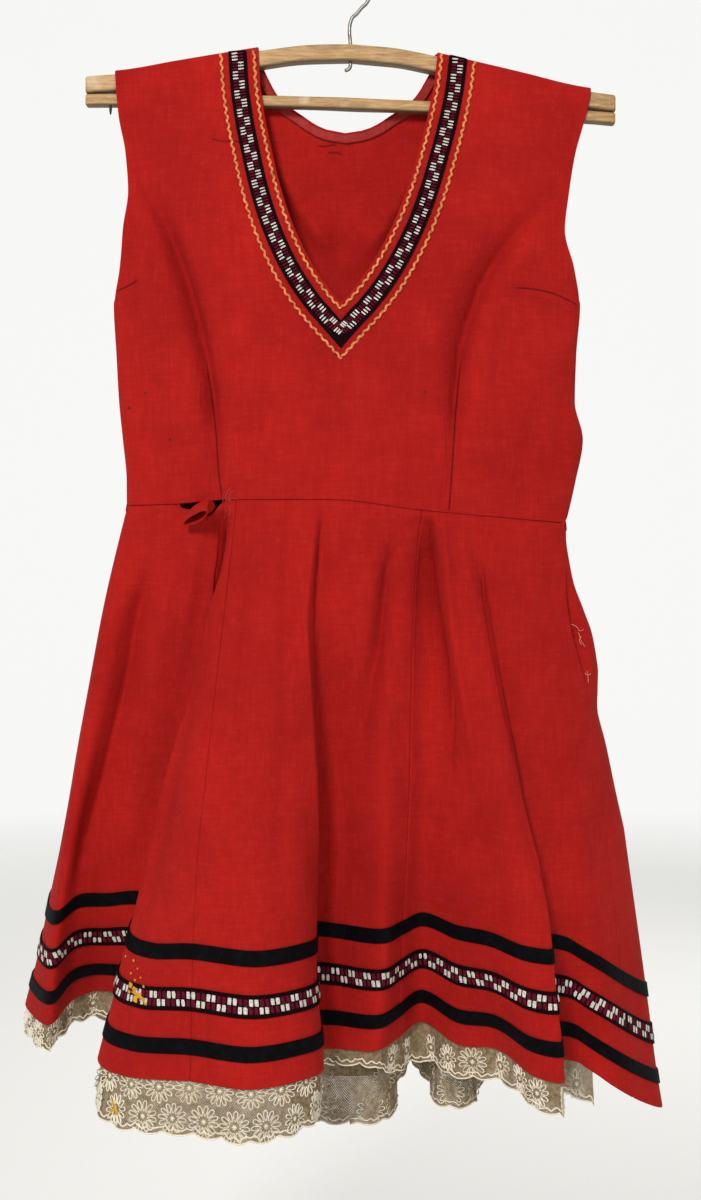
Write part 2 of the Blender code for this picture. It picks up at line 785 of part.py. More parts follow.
def build_hook(steel, collection):
    """The hook's wire: a bent tail under the arch, the shank and the open loop."""
    under = ARCH_TOP - ARCH_HEIGHT
    middle = WIRE / 2 - HOOK_RADIUS
    points = [
        (-HOOK_TAIL_BACK, 0, under - HOOK_TAIL_DROP),
        (-HOOK_TAIL_BACK / 2, 0, under - HOOK_TAIL_DROP + 0.5),
        (-0.6, 0, under - HOOK_TAIL_DROP + 2.2),
        (0, 0, under - HOOK_TAIL_DROP + 4.5),
        (0, 0, under),
        (0, 0, ARCH_TOP),
        (0, 0, HOOK_SHANK_TOP),
        (1.6, 0, HOOK_SHANK_TOP + 4.2),
        (5.0, 0, HOOK_SHANK_TOP + 7.2),
    ]
    for angle in np.radians(np.arange(-56, 206, 14)):
        points.append((HOOK_RADIUS * cos(angle), 0, middle + HOOK_RADIUS * sin(angle)))
    curve = bpy.data.curves.new("hanger_hook", "CURVE")
    curve.dimensions = "3D"
    curve.bevel_depth = WIRE / 2 * MM
    curve.bevel_resolution = 2
    curve.use_fill_caps = True
    spline = curve.splines.new("POLY")
    spline.points.add(len(points) - 1)
    for point, place in zip(spline.points, points):
        point.co = (*(Vector(place) * MM), 1.0)
    curve.materials.append(steel)
    hook = bpy.data.objects.new("hanger_hook", curve)
    collection.objects.link(hook)


def build_hanger(wood, steel, collection, cutters):
    arch = plank("hanger_arch", arch_top, ARCH_HEIGHT, ARCH_DEPTH, wood, collection)
    drill(arch, cutters)
    plank("hanger_bar", bar_top, BAR_HEIGHT, BAR_DEPTH, wood, collection)
    build_hook(steel, collection)


def build_bodice(wool, facing, braid, ricrac, collection):
    bodice_panel("bodice_front", -1, wool, collection)
    bodice_panel("bodice_back", 1, wool, collection)
    front = neck_line(FRONT_NECK, NECK_TOP_Z - NECK_TIP_Z, NECK_STATIONS)
    back = neck_line(BACK_NECK, BACK_NECK_DROP, BACK_NECK_STATIONS)
    half = NECK_BRAID_WIDTH / 2
    neck_trim(
        "neck_braid", -1, front, NECK_BRAID_AT - half, NECK_BRAID_AT + half, False,
        braid, collection,
    )
    for name, at in (
        ("neck_ricrac_inner", INNER_RICRAC_AT),
        ("neck_ricrac_outer", OUTER_RICRAC_AT),
    ):
        near, far = at - RICRAC_WIDTH / 2, at + RICRAC_WIDTH / 2
        neck_trim(name, -1, front, near, far, False, ricrac, collection)
    neck_trim(
        "back_neck_facing", 1, back, FACING_NEAR, FACING_FAR, True, facing, collection
    )


def main():
    clear_scene()
    scene = bpy.context.scene.collection
    parts = bpy.data.collections.new("folk_dress_on_hanger")
    cutters = bpy.data.collections.new("cutters")
    scene.children.link(parts)
    scene.children.link(cutters)
    wool = material("red wool cloth", (0.45, 0.012, 0.01), 0.9)
    facing = material("red cotton facing", (0.5, 0.03, 0.04), 0.85)
    black = material("black ribbon", (0.006, 0.006, 0.008), 0.6)
    braid = material("woven braid", (0.12, 0.01, 0.02), 0.7)
    ricrac = material("gold ric-rac", (0.72, 0.36, 0.09), 0.6)
    lace = material("cream lace", (0.55, 0.45, 0.32), 0.85)
    wood = material("old beech", (0.42, 0.26, 0.13), 0.6)
    steel = material("steel wire", (0.45, 0.45, 0.45), 0.4, 1.0)
    build_hanger(wood, steel, parts, cutters)
    build_bodice(wool, facing, braid, ricrac, parts)
    build_skirt(wool, black, braid, lace, parts)
    build_tear(wool, parts)


main()
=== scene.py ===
"""The looks of a sleeveless folk dress of red wool on a wooden bow hanger.

Lengths are in millimetres and are scaled to metres as each mesh is made.
+X is to the right as the dress is looked at, +Y to its back and +Z up.
The origin is the inner top of the hanger's hook.
"""

from collections import namedtuple
from functools import partial
from math import cos, pi, radians, sin, sqrt, tan

import bpy
import numpy as np
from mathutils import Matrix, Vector


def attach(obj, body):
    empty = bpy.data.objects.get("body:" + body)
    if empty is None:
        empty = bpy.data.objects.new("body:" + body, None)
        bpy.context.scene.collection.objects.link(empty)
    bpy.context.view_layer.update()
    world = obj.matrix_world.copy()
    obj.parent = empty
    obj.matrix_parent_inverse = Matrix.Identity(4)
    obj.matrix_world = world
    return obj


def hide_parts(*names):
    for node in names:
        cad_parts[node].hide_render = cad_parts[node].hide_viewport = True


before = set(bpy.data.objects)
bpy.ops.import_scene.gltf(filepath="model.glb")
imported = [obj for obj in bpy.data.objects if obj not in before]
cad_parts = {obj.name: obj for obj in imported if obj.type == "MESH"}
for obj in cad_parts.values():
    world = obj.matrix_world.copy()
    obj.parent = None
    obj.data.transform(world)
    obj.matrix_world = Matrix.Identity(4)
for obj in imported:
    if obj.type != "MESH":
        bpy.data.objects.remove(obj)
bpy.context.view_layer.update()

MM = 0.001

# Cloth and trims: how thick they are, and the gaps between them. A turned hem is
# HEMMED times as thick, and a cut edge bulges by EDGE_ROUND of the thickness at two
# parts of the way through it
CLOTH = 1.8
HEMMED = 1.3
TRIM = 1.0
LAID_GAP = 0.4
SEAM_GAP = 0.12
WAIST_GAP = 0.6
WAIST_DRAW = 0.5
EDGE_ROUND = 0.35
EDGE_LEVELS = (0.22, 0.78)
BULGE = CLOTH * EDGE_ROUND

# Hanger: how far its arch falls along X, how round and worn its strips are, and how
# they shrink at their ends: distance in from the end, and size there
HANGER_HALF = 221.5
ARCH_TOP = -61.0
ARCH_HEIGHT = 13.5
ARCH_DEPTH = 13.0
BAR_MIDDLE = -109.8
BAR_BOW = 4.5
BAR_HEIGHT = 9.0
BAR_DEPTH = 12.0
TILT = tan(radians(2.0))
ARCH_BOW = [(0, 0), (35, 2), (70, 7.2), (110, 14.8), (145, 21.8), (190, 31), (222, 34.5)]
WOOD_ROUND = 1.6
WOOD_WEAR = 0.35
WOOD_ENDS = [(0.0, 0.78), (0.25, 0.9), (0.9, 0.98), (2.0, 1.0)]
WOOD_INNER = 5.0
WOOD_SECTIONS = 170

# Hook: places of its wire in X and height over the end of its tail and over the top of
# its shank, and the angles of its round part in degrees: first, last and step
WIRE = 3.2
WIRE_SIDES = 12
HOOK_RADIUS = 17.0
HOOK_SHANK_TOP = -42.0
HOOK_TAIL_DROP = 7.0
HOOK_TAIL = [(-5.0, 0.0), (-2.5, 0.5), (-0.6, 2.2), (0.0, 4.5)]
HOOK_NECK = [(0.0, 0.0), (1.6, 4.2), (5.0, 7.2)]
HOOK_TURNS = (-56, 206, 14)
HOOK_POINTS = 150

# The nail that shows under the bar's left end: X, Y, its top, its bottom and its width
NAIL = (-201.0, -3.0, -106.0, -118.5)
NAIL_WIDTH = 2.4

# Bodice: how its shoulder lies over the arch, how its columns crowd to the sides, how
# far from the sides and the shoulder its creases fade, and the neck's middle line
SHOULDER_LIFT = 3.3
SHOULDER_FLAT = 3.5
SHOULDER_HALF_DEPTH = 8.9
SHOULDER_ROUND = 2.6
SHOULDER_FALL = 0.3
SHOULDER_STEPS = 4
SHOULDER_CALM = (4.0, 24.0)
SIDE_CALM = 14.0
SIDE_CROWDING = 1.15
BODY_ROUND = 2.4
NECK_WIDE = 80.0
NECK_TOP_Z = -67.0
NECK_TIP_Z = -279.0
NECK_MIDDLE_TOP = -2.0
NECK_MIDDLE_TIP = -8.0
SETTLING_ROUNDS = 8

# A row for each height of the bodice: the outline left and right, how far the
# front and back stand out at their middle, how far their edges stand from the
# middle plane, and how round the sides are (1 is a lens, 0.5 an ellipse)
Section = namedtuple("Section", "z left right front back edge side_power")
SECTIONS = [
    Section(-60, -197, 201, 0, 0, 8.9, 1.0),
    Section(-100, -195, 200, 1, 1, 8.9, 1.0),
    Section(-120, -193, 196, 3, 2, 9.5, 1.0),
    Section(-152, -187, 187, 8, 5, 11.5, 1.0),
    Section(-183, -185, 182, 14, 8, 12.0, 1.0),
    Section(-214, -190, 179, 19, 10, 10.0, 0.9),
    Section(-247, -194, 188, 24, 12, 5.0, 0.7),
    Section(-277, -199, 193, 28, 14, 0.2, 0.52),
    Section(-319, -197, 190, 31, 17, 0.2, 0.5),
    Section(-358, -195, 189, 31, 19, 0.2, 0.5),
    Section(-390, -192, 196, 30, 21, 0.2, 0.5),
    Section(-425, -189, 190, 29, 22, 0.2, 0.5),
    Section(-465, -189, 181, 29, 23, 0.2, 0.5),
]

# Half widths of the two necklines at depths under the shoulder
FRONT_NECK = [(0, 75.5), (28, 73), (55, 68.5), (83, 62), (110, 55), (136, 46.5), (163, 34.5),
              (183, 23), (202, 9), (212, 0)]
BACK_NECK = [(0, 75.5), (12, 71), (22, 66), (35, 58), (43, 49), (50, 38), (57, 27), (62, 15),
             (64.5, 0)]

# The waist seam's height along X, front and back
WAIST_FRONT = [(-195, -446), (-150, -445), (-98, -441), (-20, -441), (60, -450), (185, -461)]
WAIST_BACK = [(-195, -446), (0, -452), (185, -461)]

# The tear in the waist seam: its ends, how far the folds drop there, its torn edge's
# height under the seam along X, and how far down the skirt the seam's line is felt
TEAR_LEFT = -144.0
TEAR_RIGHT = -104.0
TEAR_DROP = 9.0
TEAR_EDGE = [(-147, 0), (-141, -4), (-134, -6), (-127, -10), (-120, -13), (-113, -9), (-107, -3),
             (-103, 0)]
TEAR_FADE = 0.07

# The skirt's top turned in behind the bodice: how far up and inwards each row lies,
# how far it slides in at the sides and from where, and how little of it the torn edge has
TUCK = [(5.0, 2.4), (1.0, 2.3), (0.25, 1.2)]
TUCK_SIDES = 4.0
TUCK_SIDES_FROM = (140.0, 175.0)
TUCK_TORN = 0.04

# Columns of the mesh that give way where an edge is drawn in
SEAM_REACH = 6

# Trims at the neck, as distances from the neck edge
INNER_RICRAC_AT = 3.0
OUTER_RICRAC_AT = 30.4
NECK_BRAID_AT = 16.8
NECK_BRAID_WIDTH = 14.5
NECK_BRAID_ROWS = 7
NECK_LAID_GAP = 0.8
FACING_NEAR = 0.6
FACING_FAR = 8.0
FACING_ROWS = 5
NECK_STATIONS = 90

# How far under the shoulder the trims start on the cloth, and under the arch inside it
TRIM_START = 1.2
FACING_START = 1.0

# How wide the cloth is turned over at the neck and armholes, over what width and what
# part of the way down it fades, and where the armholes end
HEM_TURN = 10.0
HEM_FADE = 2.0
HEM_START = (0.08, 0.12)
ARMHOLE_FOOT = -266.0

# Trims and lace at the hem, as distances up the cloth from its edge
UPPER_BAND = (108.0, 96.0)
HEM_BRAID = (73.0, 55.0)
LOWER_BAND = (32.5, 20.5)
BAND_HEIGHT = 102.0
BAND_PART = 0.78

# How fast a fold leaves the waist, against a straight line: across in the middle, added
# to that at the side, and in depth
FLARE_MIDDLE = 0.75
FLARE_SIDE = 0.6
FLARE_DEPTH = 0.5
WAIST_HALF = 190.0

# The lace: how straight it hangs and how far behind the hem, its net's thickness and
# cells, its scallops, its ruffles and how they stray, and the rows of mesh below the hem
LACE_HANG = 0.5
LACE_BEHIND = 1.5
NET = 0.3
NET_CELL = 2.0
SCALLOP = 24.0
SCALLOP_DEPTH = 4.0
SCALLOP_ROUND = 0.6
RUFFLE = 1.6
RUFFLE_PITCH = 33.0
RUFFLE_GROWTH = 1.5
RUFFLE_STRAY = 1.3
RUFFLE_STRAY_PITCH = 91.0
LACE_ROWS = 14

# The two cords on its edge: how far up each lies and how far it swings
CORD = 1.3
CORDS = ((0.0, 0.0), (4.0, 1.4))
CORD_WAVE = 9.0

# The lace's daisies: pitch, heights over its lower edge, the room they leave at its
# ends and under the ribbon, and their petals and thread
DAISY_PITCH = 26.0
DAISY_ROWS = (13.5, 37.5)
DAISY_END = 10.0
DAISY_TOP = 3.0
PETALS = 12
PETAL_STEPS = 9
PETAL_NEAR = 4.4
PETAL_FAR = 12.4
PETAL_WIDTH = 4.3
PETAL_THREAD = 0.9

# A row for each fold of the skirt, anticlockwise from above starting at the left
# side seam: X at the waist, X and Y at the upper band, the hem's point, the drop
# of the lace under it, and columns of the mesh up to the next row
Fold = namedtuple("Fold", "name waist_x band_x band_y hem_x hem_y hem_z lace columns")
FOLDS = [
    Fold("left_seam", -189, -266, 40, -292, 70, -892, 27, 3),
    Fold("left_ridge", -184, -250, -4, -261, 18, -896, 27, 2),
    Fold("left_slope", -160, -233, 8, -243, 45, -881, 28, 2),
    Fold("left_valley", -136, -211, 16, -224, 60, -878, 30, 2),
    Fold("left_under", -114, -182, 4, -192, 38, -881, 30, 4),
    Fold("ridge_edge", -107, -188, -30, -211, -46, -907, 40, 3),
    Fold("ridge_left", -103, -164, -58, -184, -80, -910, 44, 3),
    Fold("left_gore", -95, -128, -78, -129, -100, -908, 45, 3),
    Fold("ridge_middle", -60, -77, -88, -80, -108, -912, 45, 3),
    Fold("ridge_right", -35, -42, -72, -41, -90, -911, 44, 3),
    Fold("ridge_turn", -26, -28, -40, -23, -58, -912, 38, 3),
    Fold("ridge_under", -20, -33, -6, -36, -20, -908, 20, 3),
    Fold("centre_valley", -10, -13, 4, -13, 2, -912, 16, 3),
    Fold("low_ridge", 29, 27, -26, 22, -14, -909, 16, 2),
    Fold("right_gore", 59, 45, -6, 41, 10, -906, 34, 2),
    Fold("deep_valley", 65, 62, 6, 62, 35, -899, 40, 3),
    Fold("flat", 73, 89, -12, 94, 0, -909, 32, 2),
    Fold("flat_right", 86, 117, -34, 123, -12, -908, 32, 2),
    Fold("right_ridge", 97, 145, -52, 151, -55, -918, 30, 2),
    Fold("right_turn", 104, 168, -50, 175, -70, -919, 30, 3),
    Fold("right_under", 108, 161, -28, 170, -28, -914, 30, 2),
    Fold("right_valley", 115, 184, -12, 193, -10, -920, 34, 1),
    Fold("lace_end", 130, 197, -10, 206, -12, -928, 34, 1),
    Fold("right_front", 150, 210, -6, 219, -14, -936, 0, 3),
    Fold("right_seam", 179, 235, 18, 244, 2, -955, 0, 3),
    Fold("right_side", 181, 265, 66, 276, 45, -977, 0, 3),
    Fold("right_back", 174, 242, 108, 252, 106, -968, 0, 3),
    Fold("back_full_1", 158, 205, 130, 212, 163, -950, 36, 2),
    Fold("back_full_2", 140, 164, 130, 164, 172, -940, 36, 3),
    Fold("back_slope_1", 122, 129, 100, 124, 118, -937, 40, 3),
    Fold("back_valley_1", 106, 104, 62, 105, 64, -940, 44, 2),
    Fold("back_valley_2", 92, 84, 56, 82, 60, -939, 44, 3),
    Fold("back_slope_2", 78, 70, 86, 72, 106, -936, 38, 3),
    Fold("back_full_3", 66, 58, 114, 57, 150, -934, 36, 3),
    Fold("back_slope_3", 54, 46, 86, 42, 104, -940, 38, 3),
    Fold("back_valley_3", 40, 33, 52, 32, 48, -947, 44, 2),
    Fold("back_valley_4", 8, 2, 47, 0, 41, -948, 44, 2),
    Fold("back_valley_5", -24, -31, 54, -35, 52, -948, 44, 3),
    Fold("back_full_4", -50, -67, 100, -72, 138, -942, 36, 3),
    Fold("back_full_5", -78, -104, 108, -112, 148, -932, 36, 3),
    Fold("back_valley_6", -104, -140, 72, -152, 88, -920, 36, 3),
    Fold("back_full_6", -130, -178, 98, -192, 124, -906, 34, 2),
    Fold("back_full_7", -156, -222, 110, -238, 142, -895, 32, 3),
    Fold("left_back", -180, -262, 88, -276, 118, -890, 28, 3),
]
FOLD_NAMES = [fold.name for fold in FOLDS]

# How much finer than the solids the cloth is drawn: steps of the mesh for each
# column of the folds, rows down the skirt, and the bodice's rows and columns
FINE = 6
SKIRT_ROWS = 120
BODICE_COLUMNS = 88
BODICE_ROWS = 140

# Creases of the bodice, along paths in X and Z: how high they are (a trough is below
# zero) and how wide. Lean makes the side to the left of the path's way steeper and the
# fold sharper, by the share below. A crease fades at both ends of its path to the least
SHARPER = 1.4
PATH_POINTS = 24
CREASE_FADE = (0.3, 0.2)
CREASE_LEAST = 0.25
Crease = namedtuple("Crease", "name height width lean path")
FRONT_CREASES = [
    Crease("left armhole to dart", -14.0, 18, -0.35,
           [(-178, -172), (-158, -208), (-144, -246), (-133, -282), (-125, -314), (-119, -350),
            (-115, -400)]),
    Crease("its sharp middle", -4.5, 6, 0.0,
           [(-150, -226), (-140, -250), (-130, -284), (-122, -316), (-117, -350), (-113, -390)]),
    Crease("left of that crease", 3.0, 24, 0.0,
           [(-184, -232), (-170, -264), (-158, -300), (-150, -350), (-140, -400)]),
    Crease("right of that crease", 2.6, 16, 0.0,
           [(-150, -190), (-134, -232), (-121, -276), (-110, -330)]),
    Crease("left dart", -2.6, 5, 0.0,
           [(-119, -338), (-114, -369), (-112, -390), (-110, -419), (-107, -441)]),
    Crease("right armhole to dart", -13.0, 17, 0.4,
           [(170, -190), (143, -215), (120, -245), (103, -279), (93, -314), (90, -350),
            (88, -400)]),
    Crease("its sharp middle", -4.0, 6, 0.0,
           [(130, -232), (114, -256), (101, -286), (93, -318), (90, -350), (87, -390)]),
    Crease("left of that crease", 2.2, 20, 0.0,
           [(112, -200), (96, -240), (80, -280), (70, -330)]),
    Crease("right dart", -2.6, 5, 0.0,
           [(93, -322), (89, -358), (84, -425), (82, -450)]),
    Crease("right of that crease", 3.4, 20, 0.0,
           [(158, -222), (130, -262), (116, -300), (108, -340), (102, -400)]),
    Crease("right bust dart", -1.6, 5, 0.0, [(128, -265), (155, -266), (170, -269), (190, -277)]),
    Crease("left bust dart", -1.3, 5, 0.0, [(-198, -266), (-186, -262), (-170, -255)]),
    Crease("left armhole turning", -0.7, 3.5, 0.0,
           [(-187, -98), (-183, -126), (-177, -163), (-177, -186), (-182, -212)]),
    Crease("right armhole turning", -0.6, 3.5, 0.0,
           [(191, -100), (187, -126), (178, -160), (173, -190), (173, -214)]),
    Crease("under the neck", -1.8, 22, 0.0, [(-14, -300), (-12, -345), (-16, -400)]),
    Crease("left of the neck", -2.0, 24, 0.0, [(-96, -190), (-80, -250), (-60, -310)]),
    Crease("right of the neck", -2.2, 22, 0.0, [(74, -170), (66, -230), (48, -300)]),
    Crease("left waist", 1.8, 16, 0.0, [(-160, -380), (-150, -415), (-148, -440)]),
    Crease("middle waist left", 1.5, 20, 0.0, [(-62, -370), (-58, -410), (-56, -438)]),
    Crease("middle waist right", 1.8, 18, 0.0, [(34, -380), (40, -415), (40, -446)]),
    Crease("right waist", -1.8, 14, 0.0, [(150, -370), (146, -410), (142, -456)]),
    Crease("left side drag", -1.6, 10, 0.0, [(-190, -330), (-168, -340), (-150, -360)]),
    Crease("right side drag", -1.8, 11, 0.0, [(192, -372), (172, -366), (150, -350)]),
]
BACK_CREASES = [
    Crease("left armhole to waist", -5.0, 11, 0.0,
           [(-164, -200), (-146, -240), (-128, -290), (-116, -350), (-108, -430)]),
    Crease("right armhole to waist", -4.6, 11, 0.0,
           [(160, -206), (142, -244), (122, -296), (108, -352), (98, -440)]),
    Crease("under the neck left", -9.0, 20, -0.3, [(-70, -138), (-48, -184), (-16, -234)]),
    Crease("under the neck right", -9.0, 20, 0.3, [(68, -138), (42, -188), (10, -238)]),
    Crease("middle", 2.2, 26, 0.0, [(-6, -180), (-8, -260), (-6, -330)]),
    Crease("left shoulder blade", 2.4, 26, 0.0, [(-96, -170), (-92, -230), (-80, -300)]),
    Crease("right shoulder blade", 2.4, 26, 0.0, [(92, -170), (88, -230), (76, -300)]),
    Crease("left waist", -2.2, 6, 0.0, [(-100, -330), (-100, -390), (-98, -448)]),
    Crease("right waist", -2.2, 6, 0.0, [(92, -330), (92, -390), (90, -454)]),
    Crease("across the waist", 1.6, 14, 0.0, [(-50, -405), (0, -414), (40, -406)]),
    Crease("left side drag", -2.0, 12, 0.0, [(-188, -350), (-160, -366), (-130, -392)]),
    Crease("right side drag", -2.0, 12, 0.0, [(186, -340), (160, -362), (130, -390)]),
]

# Darts, seamed on the inside, that show as fine lines from their points on, a groove with
# painted shade in it: the part of their length in which they come out of the cloth, how far
# past their ends and how far beside them they are felt
DART_FADE = 0.22
DART_PAST = 1.5
SEAM_FELT = 8.0
FRONT_DARTS = [
    [(-123, -312), (-117, -350), (-112, -390), (-110, -419), (-107, -440)],
    [(94, -310), (89, -358), (84, -425), (82, -450)],
    [(-176, -257), (-186, -262), (-197, -266)],
    [(130, -265), (155, -266), (170, -269), (190, -277)],
]
BACK_DARTS = [
    [(-100, -330), (-100, -390), (-98, -447)],
    [(92, -330), (92, -390), (90, -453)],
]

# Creases of the skirt between its folds. A place is a fold, a part of the way
# from it to the next, and a part of the way down from the waist to the hem. Lean
# makes the side to the next fold steeper and the fold sharper. A crease widens from a
# share of its width at the waist by another at the hem, and starts and ends over parts
# of the way down beside its path's own ends
CREASE_SPREAD = (0.7, 0.6)
CREASE_START = (-0.04, 0.1)
CREASE_END = (-0.2, 0.08)
FOLD_CREASES = [
    Crease("left panel's shade", -18.0, 26, -0.35,
               [("left_slope", 0.1, 0.12), ("left_slope", 0.0, 0.22), ("left_slope", 0.2, 0.36),
                ("left_slope", 0.2, 0.5), ("left_slope", 0.1, 0.63), ("left_ridge", 0.9, 0.75)]),
    Crease("valley under the tear", -22.0, 23, 0.6,
               [("ridge_edge", 0.2, 0.0), ("ridge_left", 0.0, 0.05), ("ridge_edge", 0.9, 0.115),
                ("ridge_edge", 0.5, 0.16), ("ridge_edge", 0.1, 0.21), ("left_under", 0.6, 0.3),
                ("left_under", 0.1, 0.5), ("left_valley", 0.8, 0.78)]),
    Crease("left edge of the ridge", -8.0, 30, 0.0,
               [("ridge_edge", 0.3, 0.22), ("ridge_edge", 0.3, 0.5), ("ridge_edge", 0.3, 0.8)]),
    Crease("left of that valley", 3.5, 16, 0.0,
               [("left_valley", 0.6, 0.04), ("left_valley", 0.8, 0.2), ("left_under", 0.0, 0.45)]),
    Crease("beside the left gore", -2.6, 9, 0.0,
               [("left_gore", 0.3, 0.0), ("left_gore", 0.5, 0.3), ("left_gore", 0.5, 0.55)]),
    Crease("ridge's soft shade", -2.4, 14, 0.0,
               [("ridge_middle", 0.3, 0.0), ("ridge_middle", 0.4, 0.3), ("ridge_middle", 0.5, 0.7)]),
    Crease("ridge's edge", 5.0, 13, 0.3,
               [("ridge_right", 0.6, 0.04), ("ridge_right", 0.0, 0.2), ("ridge_right", 0.2, 0.32),
                ("ridge_right", 0.6, 0.5), ("ridge_turn", 0.0, 0.66)]),
    Crease("under the ridge's edge", -9.5, 12, -0.3,
               [("ridge_turn", 0.5, 0.03), ("ridge_turn", 0.0, 0.2), ("ridge_turn", 0.1, 0.3),
                ("ridge_turn", 0.5, 0.45), ("ridge_turn", 0.9, 0.63)]),
    Crease("shade left of the right gore", -17.0, 22, -0.4,
               [("low_ridge", 0.2, 0.07), ("low_ridge", 0.0, 0.14), ("centre_valley", 0.8, 0.24),
                ("centre_valley", 0.6, 0.32), ("centre_valley", 0.5, 0.42)]),
    Crease("pleat beside the right gore", -27.0, 25, 0.8,
               [("deep_valley", 0.33, 0.01), ("deep_valley", 0.45, 0.06), ("deep_valley", 0.6, 0.16),
                ("deep_valley", 0.83, 0.21), ("flat", 0.0, 0.28), ("flat", 0.15, 0.38),
                ("flat", 0.1, 0.45)]),
    Crease("pleat's edge", 5.0, 13, 0.0,
               [("flat", 0.33, 0.0), ("flat", 0.35, 0.1), ("flat", 0.5, 0.21), ("flat", 0.75, 0.33),
                ("flat_right", 0.0, 0.5)]),
    Crease("under the right ridge", -9.0, 22, 0.0,
               [("right_ridge", 0.3, 0.03), ("right_ridge", 0.7, 0.14), ("right_turn", 0.0, 0.24),
                ("right_turn", 0.3, 0.45), ("right_turn", 0.3, 0.65)]),
    Crease("back right shade", -4.5, 13, 0.0,
               [("back_full_1", 0.5, 0.03), ("back_full_1", 0.6, 0.5), ("back_full_1", 0.8, 0.9)]),
    Crease("back right valley", -5.0, 12, 0.0,
               [("back_slope_1", 0.6, 0.0), ("back_slope_1", 0.8, 0.2), ("back_valley_1", 0.2, 0.5)]),
    Crease("back middle right", 3.4, 14, 0.0,
               [("back_valley_3", 0.6, 0.0), ("back_valley_3", 0.7, 0.4), ("back_valley_4", 0.0, 0.8)]),
    Crease("back middle left", -4.0, 13, 0.0,
               [("back_valley_4", 0.5, 0.0), ("back_valley_4", 0.6, 0.45), ("back_valley_4", 0.5, 0.7)]),
    Crease("back left shade", -4.5, 12, 0.0,
               [("back_full_4", 0.5, 0.0), ("back_full_4", 0.6, 0.4), ("back_full_4", 0.5, 0.8)]),
    Crease("back left valley", -5.0, 12, 0.0,
               [("back_valley_6", 0.2, 0.0), ("back_valley_6", 0.1, 0.2), ("back_valley_6", 0.0, 0.5)]),
    Crease("back far left", 3.2, 14, 0.0,
               [("back_full_6", 0.4, 0.03), ("back_full_6", 0.5, 0.45), ("back_full_6", 0.6, 0.85)]),
    Crease("left back shade", -3.6, 13, 0.0,
               [("back_full_7", 0.5, 0.05), ("back_full_7", 0.6, 0.5), ("back_full_7", 0.6, 0.9)]),
]

# The cloth's own unevenness: how high its waves are, how many are summed, their
# lengths, and how steep they are across, in depth and down
RIPPLE_HEIGHT = 0.7
RIPPLE_WAVES = 9
RIPPLE_LENGTHS = (63.0, 210.0)
RIPPLE_WAYS = (1.0, 1.0, 0.45)
RIPPLE_SEED = 11

# Pocket opening in the right side seam, as parts of the way to the upper band, how
# wide it gapes, how many columns of the mesh it draws on and how much of their width it
# may take, and how far its back lip runs on and lies in
POCKET_TOP = 0.09
POCKET_BOTTOM = 0.36
POCKET_GAPE = 10.5
POCKET_REACH = 18
POCKET_MOST = 0.8
POCKET_LIP = 1.5
POCKET_DEEP = 12.0

# How the pocket's bag moves the right side in and out, by height
SIDE_LINE = [(-730, 0), (-690, -3), (-650, -4.5), (-625, -6), (-602, -1.7), (-584, 2), (-558, 3),
             (-534, 0), (-508, -3.5), (-480, -2.5), (-461, 0)]
SIDE_WIDTH = 60.0

# Torn pleat: the middle of its tube from the seam to its open lip, the way of its width,
# half its width and height at both ends, and the waves of its outline round the tube:
# how high, how many and how far turned
PLEAT_PATH = [
    (-121.5, -22.0, -449.5),
    (-124.0, -29.0, -447.5),
    (-126.0, -36.0, -450.0),
    (-127.5, -42.0, -456.5),
]
PLEAT_LIE = (-0.7, 0.6, -0.5)
PLEAT_ROOT = (9.0, 4.6)
PLEAT_LIP = (14.5, 5.2)
PLEAT_WAVES = [(0.09, 2, 0.6), (0.05, 3, 0.0)]
PLEAT_CLOTH = 1.2
PLEAT_ROWS = 18
PLEAT_SIDES = 36

# The braids' woven blocks, white and maroon by turns: size along and across, pitch,
# the rows' places across, the room left at the ends, how many stand together in one
# colour, and which colour is first
BRAID_COLOURS = ("white", "maroon")
Weave = namedtuple("Weave", "block pitch rows margin run first")
NECK_WEAVE = Weave((1.3, 4.5), 2.62, (4.9, 9.7), 2.0, 3, 1)
HEM_WEAVE = Weave((3.2, 5.4), 4.4, (5.8, 12.1), 3.0, 2, 0)
BLOCK_HEIGHT = 0.5
TRIM_ROWS = 7

# Loose threads that show, by their colour, in X and Z: on the bodice's front, inside its
# back and on the skirt's front, how thick they are and how far off the cloth
FRONT_THREADS = {
    "dark": [[(-116, -141), (-104, -144), (-96, -143), (-91, -146)]],
    "red": [[(-104, -443), (-103.5, -436), (-100, -431)], [(-100, -444), (-101, -437), (-97, -433)],
            [(-106, -444), (-106.5, -438), (-104.5, -434)], [(-103, -441), (-98, -440), (-94, -441)]],
}
BACK_THREADS = {
    "dark": [[(-27.5, -141), (-22, -141.2), (-15, -139.8), (-12, -140.6)],
             [(-19, -146.4), (-14.5, -146), (-10.5, -146.4), (-7, -148)]],
}
SKIRT_THREADS = {
    "pale": [[(186, -546), (191, -548), (194, -552), (198, -551)], [(193, -553), (195, -559), (199, -566)],
             [(196, -556), (194, -560), (196, -564)], [(199, -588), (202, -590), (205, -589)],
             [(201, -586), (202, -591), (202.5, -597)]],
    "red": [[(-105, -446), (-104, -452), (-105, -457)], [(-101, -446), (-100, -451), (-101, -455)]],
}
LOOSE_THREAD = 0.55
THREAD_OFF = 0.2
SKIRT_THREAD_OFF = 0.4

